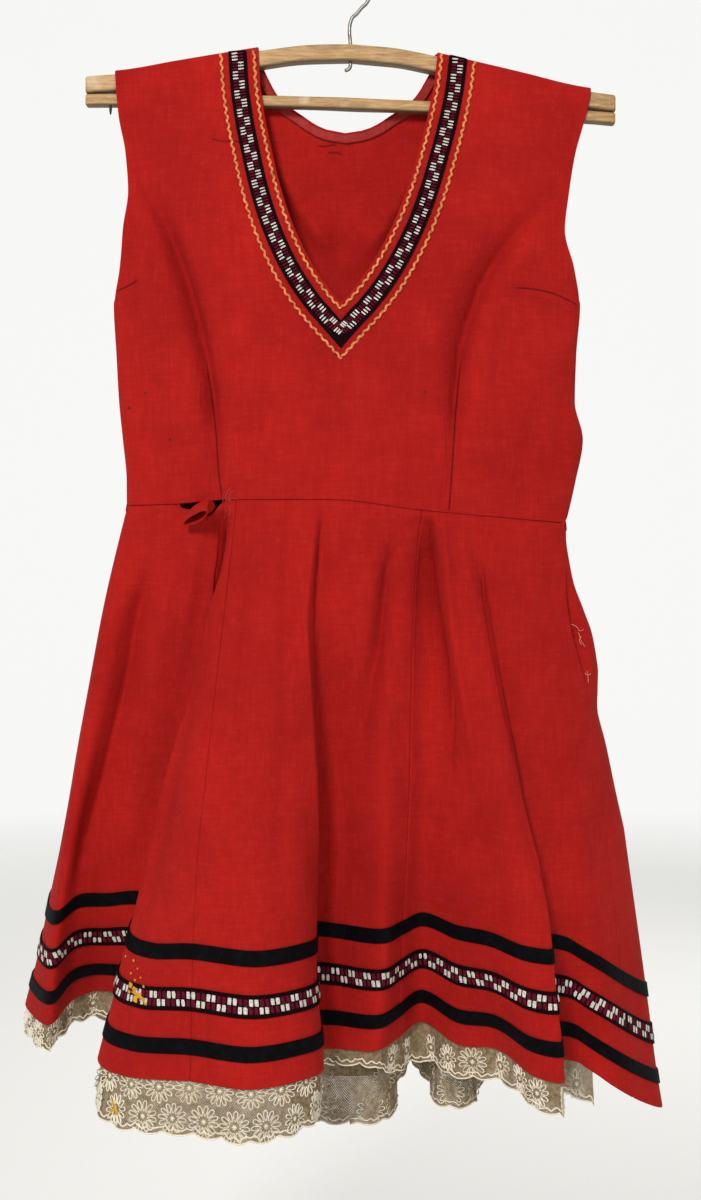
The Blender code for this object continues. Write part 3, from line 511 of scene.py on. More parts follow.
# Blots of dried yellow paint on the skirt and on its lace, in X, Z and size, and dark
# specks on the bodice, in X and Z; then the length, width and height of a dab of paint
# and of a speck, and how far the paint lies off the ribbon and off the daisies' thread
BLOTS = [(-181, -843, 2.6), (-177, -846, 3.4), (-173, -848, 3.0), (-170, -851, 2.6), (-176, -852, 3.0),
         (-167, -853, 1.8), (-182, -848, 1.6), (-187, -823, 1.1), (-179, -824, 1.3), (-169, -841, 1.2),
         (-175, -829, 0.9), (-181, -834, 1.0), (-172, -835, 0.8), (-177, -838, 1.1)]
LACE_BLOTS = [(-194, -935, 1.6), (-191, -937, 2.0), (-193, -940, 2.2), (-190, -941, 1.8),
              (-196, -942, 1.6)]
SPECKS = [(-186, -364), (-172, -352), (-150, -391), (62, -352)]
DAB = (2.0, 1.6, 0.35)
SPECK = (1.6, 1.6, 0.4)
PAINT_OFF = 0.2
LACE_PAINT_OFF = 0.3

# Ric-rac: the wave of its middle along and across, its width and thickness, how far
# off the cloth it lies, and the strip of cloth that it keeps to on each side
RICRAC_PITCH = 7.0
RICRAC_SWING = 0.7
RICRAC_STEPS = 12
RICRAC_TAPE = (2.2, 1.1)
RICRAC_OFF = 0.5
RICRAC_REACH = 2.4

# The bodice's front and back: which way along Y they face, their tables, and how far
# out of their face the loose threads lie
Side = namedtuple("Side", "name way waist neck creases darts threads thread_lift")
FRONT = Side("front", -1, WAIST_FRONT, FRONT_NECK, FRONT_CREASES, FRONT_DARTS, FRONT_THREADS,
             LOOSE_THREAD / 2 + THREAD_OFF)
BACK = Side("back", 1, WAIST_BACK, BACK_NECK, BACK_CREASES, BACK_DARTS, BACK_THREADS,
            -CLOTH * HEMMED - LOOSE_THREAD)

# The skirt's gores, its bands and the lengths of lace, by their node's names, with
# their first and last fold
SKIRT_GORES = [
    ("skirt_front_left", "left_seam", "left_gore"),
    ("skirt_front_centre", "left_gore", "right_gore"),
    ("skirt_front_right", "right_gore", "right_seam"),
    ("skirt_back_right", "right_seam", "back_full_3"),
    ("skirt_back_centre", "back_full_3", "back_full_5"),
    ("skirt_back_left", "back_full_5", "left_seam"),
]
BAND_SIDES = [("front", "left_seam", "right_seam"), ("back", "right_seam", "left_seam")]
BANDS = [("band_upper", UPPER_BAND), ("braid_hem", HEM_BRAID), ("band_lower", LOWER_BAND)]
LACE_LENGTHS = [
    ("lace_front_left", "left_seam", "centre_valley"),
    ("lace_front_right", "centre_valley", "lace_end"),
    ("lace_back_right", "back_full_1", "back_valley_4"),
    ("lace_back_left", "back_valley_4", "left_seam"),
]

# The floor, how far from the origin it fades, in metres, the room's light in front of
# the dress and behind it, and the lamps: place and size in metres, and power in watts
FLOOR_Z = -1450.0
FLOOR_HALF = 5000.0
FLOOR_FADE = (2.2, 4.6)
ROOM_LIGHT = (0.38, 1.04)
LAMP_AIM = (0.0, 0.0, -0.5)
LAMPS = [
    ("soft key", (-0.75, -2.6, 0.85), 0.5, 62.0),
    ("soft fill", (2.0, -1.8, -0.2), 1.8, 5.0),
    ("soft back", (0.9, 2.6, 0.6), 1.4, 34.0),
]

# The camera that gives the photo's view: its place, its angle down in degrees, and its
# focal length as a part of the picture's height
CAMERA_PLACE = (0.0, -1500.0, -457.9)
CAMERA_DOWN = 2.5956
CAMERA_FOCUS = 1766.5 / 1200
SENSOR = 36.0


def linear(code):
    """A colour written as six hexadecimal digits of sRGB, as linear light."""
    parts = [int(code[i : i + 2], 16) / 255 for i in (0, 2, 4)]
    light = [c / 12.92 if c <= 0.04045 else ((c + 0.055) / 1.055) ** 2.4 for c in parts]
    return (*light, 1.0)


def put(tree, kind, inputs=(), output=0, **settings):
    """Adds a node with its settings, sets or links its inputs and gives one of its outputs.

    The inputs are given by their names, or as a list in the node's own order.
    """
    node = tree.nodes.new(kind)
    for name, value in settings.items():
        setattr(node, name, value)
    given = inputs if isinstance(inputs, dict) else dict(enumerate(inputs))
    for name, value in given.items():
        if isinstance(value, bpy.types.NodeSocket):
            tree.links.new(value, node.inputs[name])
        else:
            node.inputs[name].default_value = value
    return node if output is None else node.outputs[output]


def hermite(a, b, leave, reach, u):
    """A cubic from a to b that leaves and reaches them at the given rates."""
    return (
        (2 * u**3 - 3 * u**2 + 1) * a
        + (u**3 - 2 * u**2 + u) * leave
        + (3 * u**2 - 2 * u**3) * b
        + (u**3 - u**2) * reach
    )


def smooth_table(xs, ys, x):
    """A monotone cubic through the table's points, flat beyond its ends."""
    xs, ys = np.asarray(xs, float), np.asarray(ys, float)
    slopes = np.diff(ys) / np.diff(xs)
    before, after = slopes[:-1], slopes[1:]
    harmonic = 2 * before * after / (before + after + 1e-12)
    tangents = np.concatenate(
        [slopes[:1], np.where(before * after > 0, harmonic, 0.0), slopes[-1:]]
    )
    x = np.clip(x, xs[0], xs[-1])
    i = np.clip(np.searchsorted(xs, x, side="right") - 1, 0, len(xs) - 2)
    step = xs[i + 1] - xs[i]
    u = (x - xs[i]) / step
    return hermite(ys[i], ys[i + 1], step * tangents[i], step * tangents[i + 1], u)


def section(column, z):
    """A column of the bodice's table, read at height z."""
    rows = SECTIONS[::-1]
    return smooth_table([r.z for r in rows], [getattr(r, column) for r in rows], z)


def table_at(rows, x):
    return smooth_table([r[0] for r in rows], [r[1] for r in rows], x)


def arch_top(x):
    return ARCH_TOP - table_at(ARCH_BOW, np.abs(x)) - TILT * x


def bar_top(x):
    return BAR_MIDDLE + BAR_BOW * (1 - (x / HANGER_HALF) ** 2) - TILT * x


def shoulder_z(x):
    """The shoulder seam, which lies on the hanger's arch."""
    return arch_top(x) + SHOULDER_LIFT


def trim_top(x):
    """How high the trims reach on the cloth."""
    return shoulder_z(x) - TRIM_START


def facing_top(x):
    """How high the facing reaches inside, under the hanger's arch."""
    return arch_top(x) - ARCH_HEIGHT - FACING_START


def neck_middle(z):
    """The neck's middle line, tilted with the hanger."""
    part = (z - NECK_TOP_Z) / (NECK_TIP_Z - NECK_TOP_Z)
    return NECK_MIDDLE_TOP + (NECK_MIDDLE_TIP - NECK_MIDDLE_TOP) * part


def unit(vectors):
    return vectors / np.maximum(np.linalg.norm(vectors, axis=-1, keepdims=True), 1e-9)


def smoothstep(value, low, high):
    part = np.clip((value - low) / (high - low), 0, 1)
    return part * part * (3 - 2 * part)


def lengths_along(line):
    """How far along an open line each of its points lies."""
    steps = np.linalg.norm(np.diff(line, axis=0), axis=1)
    return np.concatenate([[0], np.cumsum(steps)])


def smooth_path(points, count):
    """So many points on a smooth open line through the given ones, evenly along it."""
    points = np.array(points, float)
    along = lengths_along(points)
    slopes = np.gradient(points, along, axis=0)
    at = np.linspace(0, along[-1], count)
    i = np.clip(np.searchsorted(along, at, side="right") - 1, 0, len(points) - 2)
    h = (along[i + 1] - along[i])[:, None]
    u = (at - along[i])[:, None] / h
    return hermite(points[i], points[i + 1], h * slopes[i], h * slopes[i + 1], u)


def beside_path(path, x, z):
    """Distance from a path, above 0 to its left, and the part of it that the nearest point is at."""
    steps = np.diff(path, axis=0)
    lengths = np.linalg.norm(steps, axis=1)
    starts = lengths_along(path)
    best = np.full(np.shape(x), 1e9)
    signed, part = best.copy(), np.zeros(np.shape(x))
    for point, step, length, start in zip(path, steps, lengths, starts):
        dx, dz = x - point[0], z - point[1]
        t = np.clip((dx * step[0] + dz * step[1]) / length**2, 0, 1)
        away = np.hypot(dx - t * step[0], dz - t * step[1])
        side = np.where(step[0] * dz - step[1] * dx > 0, 1.0, -1.0)
        near = away < best
        best = np.where(near, away, best)
        signed = np.where(near, away * side, signed)
        part = np.where(near, (start + t * length) / starts[-1], part)
    return signed, part


def ripple(points):
    """The cloth's small unevenness at points, the same each time it is asked."""
    rng = np.random.default_rng(RIPPLE_SEED)
    total = np.zeros(points.shape[:-1])
    for _ in range(RIPPLE_WAVES):
        way = rng.normal(size=3) * RIPPLE_WAYS
        turn = rng.uniform(0, 2 * pi)
        length = rng.uniform(*RIPPLE_LENGTHS)
        total += np.sin(points @ way * (2 * pi / length) + turn)
    return RIPPLE_HEIGHT * total / sqrt(RIPPLE_WAVES)


def fold_shape(beside, lean):
    """A crease's height from 1 at its middle to 0 far beside it, sharper if it leans."""
    return np.exp(-(np.abs(beside) ** (2 - SHARPER * abs(lean))))


def grid_quads(rows, columns, closed=False):
    """Quads of a grid, anticlockwise where rows go down and columns to the right."""
    index = np.arange(rows * columns).reshape(rows, columns)
    left = index if closed else index[:, :-1]
    right = np.roll(index, -1, axis=1) if closed else index[:, 1:]
    return np.stack([left[:-1], left[1:], right[1:], right[:-1]], axis=-1).reshape(-1, 4)


def quad_vectors(points, quads):
    """For each quad a vector along its normal, as long as twice its area."""
    a, b, c, d = (points[quads[:, i]] for i in range(4))
    return np.cross(c - a, d - b)


def point_normals(points, quads):
    """Normals at points, from the quads round each."""
    across = quad_vectors(points, quads)
    total = np.zeros_like(points)
    for i in range(4):
        np.add.at(total, quads[:, i], across)
    return unit(total)


def cloth_area(points, quads):
    """The area of a sheet's face, in square metres."""
    return float(np.linalg.norm(quad_vectors(points, quads), axis=1).sum() / 2 * MM * MM)


def grid_normals(grid, closed):
    """Outward unit normals of a grid of points, from its own differences."""
    down = np.gradient(grid, axis=0)
    if closed:
        along = np.roll(grid, -1, axis=1) - np.roll(grid, 1, axis=1)
    else:
        along = np.gradient(grid, axis=1)
    return unit(np.cross(along, -down))


def put_object(name, data):
    made = bpy.data.objects.new(name, data)
    bpy.context.scene.collection.objects.link(made)
    return made


def give_vectors(mesh, vectors):
    """Keeps named vectors at a mesh's points."""
    for label, values in vectors.items():
        layer = mesh.attributes.new(label, "FLOAT_VECTOR", "POINT")
        layer.data.foreach_set("vector", np.asarray(values, float).ravel())


def put_mesh(name, points, quads, finish, spots=None):
    """An object of quads, with the named vectors of spots at its points."""
    mesh = bpy.data.meshes.new(name)
    mesh.vertices.add(len(points))
    mesh.vertices.foreach_set("co", (np.asarray(points) * MM).ravel())
    mesh.loops.add(quads.size)
    mesh.loops.foreach_set("vertex_index", quads.ravel())
    mesh.polygons.add(len(quads))
    mesh.polygons.foreach_set("loop_start", np.arange(0, quads.size, 4))
    mesh.update(calc_edges=True)
    mesh.validate()
    mesh.shade_smooth()
    give_vectors(mesh, spots or {})
    mesh.materials.append(finish)
    return put_object(name, mesh)


def wall(name, points, out, quads, depth, finish, spots=None):
    """Cloth with two faces and a rounded edge all round."""
    points, out = points.reshape(-1, 3), out.reshape(-1, 3)
    depth = np.broadcast_to(np.asarray(depth, float).reshape(-1), len(points))[:, None]
    count = len(points)
    edges = np.concatenate([quads[:, [i, (i + 1) % 4]] for i in range(4)])
    codes = edges[:, 0] * count + edges[:, 1]
    rim = edges[~np.isin(codes, edges[:, 1] * count + edges[:, 0])]
    steps = points[rim[:, 1]] - points[rim[:, 0]]
    away = np.zeros_like(points)
    for end in (0, 1):
        np.add.at(away, rim[:, end], unit(np.cross(steps, out[rim[:, end]])))
    edge_points = np.unique(rim)
    place = np.zeros(count, int)
    place[edge_points] = np.arange(len(edge_points))
    middle = [points - out * depth * part + unit(away) * depth * EDGE_ROUND for part in EDGE_LEVELS]
    levels = [points, *(level[edge_points] for level in middle), points - out * depth]
    starts = np.cumsum([0] + [len(level) for level in levels])
    rings = [rim, place[rim] + starts[1], place[rim] + starts[2], rim + starts[3]]
    sides = [
        np.stack([upper[:, 1], upper[:, 0], lower[:, 0], lower[:, 1]], axis=1)
        for upper, lower in zip(rings, rings[1:])
    ]
    all_quads = np.concatenate([quads, quads[:, ::-1] + starts[3], *sides])
    grown = {}
    for label, values in (spots or {}).items():
        values = np.asarray(values, float).reshape(-1, 3)
        edge_values = values[edge_points]
        grown[label] = np.concatenate([values, edge_values, edge_values, values])
    return put_mesh(name, np.concatenate(levels), all_quads, finish, grown)


# Bodice


def bodice_base(side, x, z):
    """Points of the bodice's outer face without its creases."""
    left, right = section("left", z), section("right", z)
    across = np.clip(np.abs(x - (left + right) / 2) / ((right - left) / 2), 0, 1)
    round_part = (1 - across**BODY_ROUND) ** section("side_power", z)
    y = side.way * (section("edge", z) + section(side.name, z) * round_part)
    return np.stack([x, y, z], axis=-1)


def bodice_out(side, x, z):
    """The outward normal of the bodice at a point."""
    step = 2.0
    along = bodice_base(side, x + step, z) - bodice_base(side, x - step, z)
    up = bodice_base(side, x, z + step) - bodice_base(side, x, z - step)
    return unit(np.cross(along, up) * -side.way)


def from_sides(x, z):
    """How far inside the bodice's outline a point lies."""
    return np.minimum(x - section("left", z), section("right", z) - x)


def crease_lift(creases, x, z):
    """How far the bodice's creases move its face out."""
    total = np.zeros(np.shape(x))
    for crease in creases:
        beside, part = beside_path(smooth_path(crease.path, PATH_POINTS), x, z)
        width = crease.width * (1 - crease.lean * np.sign(beside))
        bell = fold_shape(beside / (width / 2), crease.lean)
        fade = smoothstep(part, 0, CREASE_FADE[0]) * smoothstep(1 - part, 0, CREASE_FADE[1])
        total += crease.height * bell * (CREASE_LEAST + (1 - CREASE_LEAST) * fade)
    return total


def bodice_surface(side, x, z):
    """Points on the bodice's outer face with its creases, and their outward normals."""
    base, out = bodice_base(side, x, z), bodice_out(side, x, z)
    lift = crease_lift(side.creases, x, z) + ripple(base)
    calm = smoothstep(from_sides(x, z), 0, SIDE_CALM)
    calm = calm * smoothstep(shoulder_z(x) - z, *SHOULDER_CALM)
    return base + out * (lift * calm)[..., None], out


def bodice_place(side, column_part, row_part, half):
    """X and Z of grid points. half is -1 for the left half and 1 for the right."""
    z = NECK_TOP_Z + (table_at(side.waist, 0.0) - NECK_TOP_Z) * row_part
    x = np.zeros(z.shape)
    for _ in range(SETTLING_ROUNDS):
        outline = section("left" if half < 0 else "right", z)
        inner = neck_middle(z) + half * table_at(side.neck, NECK_TOP_Z - z)
        x = outline + (inner - outline) * column_part
        far = np.abs(x)
        top = np.where(far > NECK_WIDE, shoulder_z(x), shoulder_z(half * NECK_WIDE))
        top = top - SHOULDER_FALL - SHOULDER_ROUND
        top = top + (NECK_TOP_Z - top) * np.clip(1 - far / NECK_WIDE, 0, 1)
        z = top + (table_at(side.waist, x) + WAIST_GAP / 2 - top) * row_part
    return x, z


def hem_depth(side, x, z, row_parts):
    """The cloth's thickness, turned over along the neck and the armholes."""
    deep, tip = NECK_TOP_Z - z, side.neck[-1][0]
    neck = np.abs(x - neck_middle(z)) - table_at(side.neck, deep)
    neck = np.where(deep > tip, np.hypot(x - NECK_MIDDLE_TIP, deep - tip), neck)
    arm = np.where(z > ARMHOLE_FOOT, from_sides(x, z), HEM_TURN)
    near = 1 - smoothstep(np.minimum(neck, arm), HEM_TURN - HEM_FADE, HEM_TURN)
    return CLOTH * (1 + (HEMMED - 1) * near * smoothstep(row_parts, *HEM_START))


def dart_spots(darts, x, z):
    """The signed distance beside the nearest dart, and how plainly its groove and painted shade show, from
    0 to 1.
    """
    best = np.full(x.shape, SEAM_FELT)
    shown = np.zeros(x.shape)
    for path in darts:
        beside, part = beside_path(smooth_path(path, PATH_POINTS), x, z)
        past = (np.abs(part - 0.5) > 0.499) & (np.abs(beside) > DART_PAST)
        nearer = ~past & (np.abs(beside) < np.abs(best))
        best = np.where(nearer, beside, best)
        shown = np.where(nearer, smoothstep(part, 0, DART_FADE), shown)
    return np.stack([best, shown, 0 * shown], axis=-1)


def shoulder_rows():
    """Y and the fall under the shoulder of the rows from its seam to where the panel hangs."""
    turned = np.linspace(pi / 2, 0, SHOULDER_STEPS + 1)[:-1]
    y = SHOULDER_HALF_DEPTH - SHOULDER_ROUND * (1 - np.cos(turned))
    fall = SHOULDER_FALL + SHOULDER_ROUND * (1 - np.sin(turned))
    seam = [(SEAM_GAP / 2 + BULGE, 0.0), (SHOULDER_FLAT, SHOULDER_FALL / 2)]
    return seam + list(zip(y, fall))


def bodice_panel(name, side, finish):
    """A bodice panel and its area: two halves that part at the neck and join under it."""
    tip = side.neck[-1][0] / (NECK_TOP_Z - table_at(side.waist, 0.0))
    upper = round(BODICE_ROWS * tip)
    row_parts = np.concatenate(
        [np.linspace(0, tip, upper + 1), np.linspace(tip, 1, BODICE_ROWS - upper + 1)[1:]]
    )
    column_parts = 1 - np.cos(np.linspace(0, pi / 2, BODICE_COLUMNS + 1)) ** SIDE_CROWDING
    down, across = np.meshgrid(row_parts, column_parts, indexing="ij")
    shoulder = shoulder_rows()
    points, depths, spots, quads, start = [], [], [], [], 0
    for half in (-1, 1):
        x, z = bodice_place(side, across, down, half)
        z[-1] += WAIST_DRAW
        face, _ = bodice_surface(side, x, z)
        face[..., 1] = side.way * np.maximum(side.way * face[..., 1], SEAM_GAP / 2 + BULGE)
        top = [
            np.stack([x[0], 0 * x[0] + side.way * y, shoulder_z(x[0]) - fall], axis=-1)
            for y, fall in shoulder
        ]
        grid = np.concatenate([top, face])
        whole = np.full((len(top), x.shape[1]), CLOTH)
        cells = grid_quads(*grid.shape[:2]) + start
        if half > 0:
            # Under the neck the right half's last column is the left half's
            index = np.arange(start + grid[..., 0].size)
            last = start + np.arange(len(grid)) * grid.shape[1] + grid.shape[1] - 1
            shared = last[len(top) + upper :]
            index[shared] = shared - start
            cells = index[cells]
        if side.way * half < 0:
            cells = cells[:, ::-1]
        quads.append(cells)
        points.append(grid.reshape(-1, 3))
        depths += [whole.ravel(), hem_depth(side, x, z, down).ravel()]
        spots.append(dart_spots(side.darts, grid[..., 0], grid[..., 2]).reshape(-1, 3))
        start += grid[..., 0].size
    points, quads = np.concatenate(points), np.concatenate(quads)
    out, spots = point_normals(points, quads), {"seam": np.concatenate(spots)}
    panel = wall(name, points, out, quads, np.concatenate(depths), finish, spots)
    return panel, cloth_area(points, quads)


def neck_line(side, stations):
    """Points of a neckline in X and Z, from the left shoulder round to the right."""
    drops = side.neck[-1][0] * np.sin(np.linspace(0, pi / 2, stations))
    z = NECK_TOP_Z - drops
    half = table_at(side.neck, drops)
    left = np.stack([neck_middle(z) - half, z], axis=1)
    right = np.stack([neck_middle(z) + half, z], axis=1)
    return np.concatenate([left, right[::-1][1:]])


def offset_line(line, distance):
    """The line moved away from the neck, mitred at its tip."""
    along = unit(np.gradient(line, axis=0))
    out = np.stack([along[:, 1], -along[:, 0]], axis=1)
    tip = len(line) // 2
    into = unit(line[tip] - line[tip - 1])
    moved = line + out * distance
    moved[tip] = line[tip] + (0, -distance / max(abs(into[0]), 0.2))
    return moved


def neck_strip(side, stations, distances, limit):
    """Points of a panel at distances from its neckline and under a limit, and their normals."""
    line = neck_line(side, stations)
    rows = np.array([offset_line(line, distance) for distance in distances])
    rows[..., 1] = np.minimum(rows[..., 1], limit(rows[..., 0]))
    return bodice_surface(side, rows[..., 0], rows[..., 1])


# Skirt


def fold_curve(fold, side):
    """A fold's points at the waist, the upper band and the hem."""
    waist_z = float(table_at(side.waist, fold.waist_x)) - WAIST_GAP / 2
    if side is FRONT and TEAR_LEFT < fold.waist_x < TEAR_RIGHT:
        part = (fold.waist_x - TEAR_LEFT) / (TEAR_RIGHT - TEAR_LEFT)
        waist_z -= TEAR_DROP * sin(pi * part)
    waist = bodice_base(side, np.float64(fold.waist_x), np.float64(waist_z))
    run = (fold.hem_x - fold.band_x) ** 2 + (fold.hem_y - fold.band_y) ** 2
    band = (fold.band_x, fold.band_y, fold.hem_z + sqrt(BAND_HEIGHT**2 - run))
    return np.array([waist, band, (fold.hem_x, fold.hem_y, fold.hem_z)])


def down_fold(curve, parts):
    """Points down a fold: 0 is the waist, BAND_PART the upper band, 1 the hem."""
    waist, band, hem = curve
    below = 1 - BAND_PART
    first = (band - waist) / BAND_PART
    last = (hem - band) / below
    flare = FLARE_MIDDLE + FLARE_SIDE * abs(waist[0]) / WAIST_HALF
    start = first * (flare, FLARE_DEPTH, 1.0)
    middle = np.where(first * last > 0, 2 * first * last / (first + last + 1e-9), 0.0)
    parts = np.asarray(parts, float)[:, None]
    upper = hermite(waist, band, start * BAND_PART, middle * BAND_PART, parts / BAND_PART)
    lower = hermite(band, hem, middle * below, last * below, (parts - BAND_PART) / below)
    return np.where(parts <= BAND_PART, upper, lower)


def fold_column(name, part=0.0):
    """The column of the fine grid at a fold, or part of the way to the next."""
    i = FOLD_NAMES.index(name)
    return (sum(f.columns for f in FOLDS[:i]) + part * FOLDS[i].columns) * FINE


def between_knots(t, low, high, first, second):
    """A mix of two points by where t lies between their knots."""
    return ((high - t) * first + (t - low) * second) / (high - low)


def smooth_rings(parts):
    """Closed smooth lines through all the folds: a row for each part of the way down."""
    seam = FOLD_NAMES.index("right_side")
    curves = [fold_curve(f, FRONT if i < seam else BACK) for i, f in enumerate(FOLDS)]
    folds = [down_fold(curve, parts) for curve in curves]
    pieces = []
    for i, fold in enumerate(FOLDS):
        p = [folds[(i + k) % len(FOLDS)][:, None] for k in (-1, 0, 1, 2)]
        knots = [0.0]
        for near, far in zip(p, p[1:]):
            gap = np.maximum(np.linalg.norm(far - near, axis=2, keepdims=True), 1.0)
            knots.append(knots[-1] + gap**0.5)
        steps = fold.columns * FINE
        share = (np.arange(steps) / steps)[None, :, None]
        t = knots[1] + (knots[2] - knots[1]) * share
        a = [between_knots(t, knots[k], knots[k + 1], p[k], p[k + 1]) for k in range(3)]
        b = [between_knots(t, knots[k], knots[k + 2], a[k], a[k + 1]) for k in range(2)]
        pieces.append(between_knots(t, knots[1], knots[2], *b))
    return np.concatenate(pieces, axis=1)


def ring_lengths(grid):
    """How far along its ring each point lies, with the whole length as a last column."""
    steps = np.linalg.norm(np.roll(grid, -1, axis=1) - grid, axis=2)
    return np.concatenate([np.zeros((len(grid), 1)), np.cumsum(steps, axis=1)], axis=1)


def skirt_lift(grid, parts):
    """How far the creases between the folds, and the pocket's bag, move the skirt's face out."""
    along = ring_lengths(grid)
    whole = along[:, -1:]
    total = np.zeros(grid.shape[:2])
    rows = np.arange(len(grid))
    for crease in FOLD_CREASES:
        downs = [down for _, _, down in crease.path]
        columns = [fold_column(fold, part) for fold, part, _ in crease.path]
        column = smooth_table(downs, columns, parts)
        low = np.floor(column).astype(int)
        share = column - low
        centre = along[rows, low] * (1 - share) + along[rows, low + 1] * share
        beside = (along[:, :-1] - centre[:, None] + whole / 2) % whole - whole / 2
        width = (crease.width * (CREASE_SPREAD[0] + CREASE_SPREAD[1] * parts))[:, None]
        width = width * (1 - crease.lean * np.sign(beside))
        start = smoothstep(parts, *(downs[0] + step for step in CREASE_START))
        end = 1 - smoothstep(parts, *(downs[-1] + step for step in CREASE_END))
        bell = fold_shape(beside / (width / 2), crease.lean)
        total += crease.height * bell * (start * end)[:, None]
    side = along[rows, int(fold_column("right_side"))]
    beside = along[:, :-1] - side[:, None]
    bell = np.exp(-((beside / (SIDE_WIDTH / 2)) ** 2))
    return total + table_at(SIDE_LINE, grid[..., 2]) * bell


def meet_waist(grid, parts):
    """Brings the skirt's top edge to the bodice's, and gives it the tear's uneven line."""
    x = grid[0, :, 0]
    front = np.arange(len(x)) < fold_column("right_side")
    wanted = np.zeros((len(x), 2))
    for side, mine in ((FRONT, front), (BACK, ~front)):
        seam = table_at(side.waist, x)
        face, _ = bodice_surface(side, x, seam)
        wanted[mine] = np.stack([face[..., 1], seam - WAIST_GAP / 2], axis=1)[mine]
    wanted[:, 1] += np.where(front, table_at(TEAR_EDGE, x), 0.0)
    shift = wanted - grid[0, :, 1:]
    fade = np.clip(1 - parts / TEAR_FADE, 0, 1) ** 2
    grid[..., 1:] += shift * fade[:, None, None]


def skirt_surface(parts):
    """The skirt's outer face with its creases, and its outward normals."""
    grid = smooth_rings(parts)
    out = grid_normals(grid, closed=True)
    calm = smoothstep(parts, 0.0, 0.03)[:, None]
    lift = skirt_lift(grid, parts) + ripple(grid) * (0.5 + parts)[:, None]
    grid = grid + out * (lift * calm)[..., None]
    meet_waist(grid, parts)
    return grid, grid_normals(grid, closed=True)


def slice_of(grid, first, last):
    """Columns from one fold to another, going round past the end if need be."""
    a, b = int(fold_column(first)), int(fold_column(last))
    if b <= a:
        b += grid.shape[1]
    return grid[:, np.arange(a, b + 1) % grid.shape[1]].copy()


def drawn_in(grid, gap):
    """The grid with its first and last columns drawn in by a gap, and the next ones less."""
    for step in (1, -1):
        columns = grid[:, ::step]
        way = unit(columns[:, SEAM_REACH] - columns[:, 0]) * gap
        for column in range(SEAM_REACH):
            columns[:, column] += way * (1 - column / SEAM_REACH)
    return grid


def hem_part(distance):
    """The part of the way down that lies this far up the cloth from the hem."""
    return 1 - (1 - BAND_PART) * distance / BAND_HEIGHT


# Strips of cloth, and what is sewn on them


def middle_lengths(face):
    """How far along a strip each of its columns lies, at its middle row."""
    return lengths_along(face[len(face) // 2])


def column_lengths(face):
    """How long each of a strip's columns is."""
    return np.linalg.norm(np.diff(face, axis=0), axis=2).sum(axis=0)


def strip_spots(face):
    """For each point of a strip its way along and its way down, in millimetres."""
    falls = np.linalg.norm(np.diff(face, axis=0), axis=2).mean(axis=1)
    down = np.concatenate([[0], np.cumsum(falls)])
    down, along = np.meshgrid(down, middle_lengths(face), indexing="ij")
    return np.stack([along, down, 0 * down], axis=-1)


def strip_wall(name, face, out, thick, finish):
    """A strip of cloth that knows the ways along and down it."""
    quads = grid_quads(*face.shape[:2])
    return wall(name, face, out, quads, thick, finish, {"cloth": strip_spots(face)})


def on_strip(face, out, places):
    """Points of a strip at ways along and down it in millimetres, with its directions there."""
    ways = middle_lengths(face)
    places = np.array(places)
    columns = np.interp(places[:, 0], ways, np.arange(len(ways)))
    points, along, away = [], [], []
    for column, down in zip(columns, places[:, 1]):
        low = min(int(column), len(ways) - 2)
        share = column - low
        line = face[:, low] * (1 - share) + face[:, low + 1] * share
        turn = out[:, low] * (1 - share) + out[:, low + 1] * share
        fall = lengths_along(line)
        row = np.interp(down, fall, np.arange(len(fall)))
        step = min(int(row), len(fall) - 2)
        part = row - step
        points.append(line[step] * (1 - part) + line[step + 1] * part)
        away.append(turn[step] * (1 - part) + turn[step + 1] * part)
        along.append(face[step, low + 1] - face[step, low])
    return np.array(points), unit(np.array(along)), unit(np.array(away))


def tube(path, out, wide, high, sides=6):
    """Points and quads of a flattened cord along a path, with closed ends."""
    along = unit(np.gradient(path, axis=0))
    across = unit(np.cross(along, out))
    up = np.cross(across, along)
    turns = np.arange(sides) * 2 * pi / sides
    ring = (
        across[:, None] * (np.cos(turns) * wide / 2)[None, :, None]
        + up[:, None] * (np.sin(turns) * high / 2)[None, :, None]
    )
    ring[[0, -1]] *= 0.5
    points = (path[:, None] + ring).reshape(-1, 3)
    quads = [grid_quads(len(path), sides, closed=True)]
    for start, way in ((0, 1), (len(points) - sides, -1)):
        for i in range(1, sides - 1, 2):
            corners = [start, start + i, start + i + 1, start + (i + 2) % sides]
            quads.append(np.array([corners[::way]]))
    return points, np.concatenate(quads)


def joined(shapes):
    """Several shapes' points and quads as one."""
    start, points, quads = 0, [], []
    for shape_points, shape_quads in shapes:
        points.append(shape_points)
        quads.append(shape_quads + start)
        start += len(shape_points)
    return np.concatenate(points), np.concatenate(quads)


def pillow(length, width, height, along=4, across=2):
    """A small raised stitch, closed underneath."""
    u, v = np.meshgrid(np.linspace(-1, 1, along + 1), np.linspace(-1, 1, across + 1))
    rise = height * (1 - np.abs(u) ** 3) * (1 - np.abs(v) ** 2.5)
    top = np.stack([u * length / 2, v * width / 2, rise], axis=-1).reshape(-1, 3)
    quads = grid_quads(across + 1, along + 1)[:, ::-1]
    under = top * (1, 1, 0)
    return np.concatenate([top, under]), np.concatenate([quads, quads[:, ::-1] + len(top)])


def spun(points, angle):
    """Points turned about Z."""
    turn = np.array([[cos(angle), sin(angle)], [-sin(angle), cos(angle)]])
    return np.column_stack([points[:, :2] @ turn, points[:, 2:]])


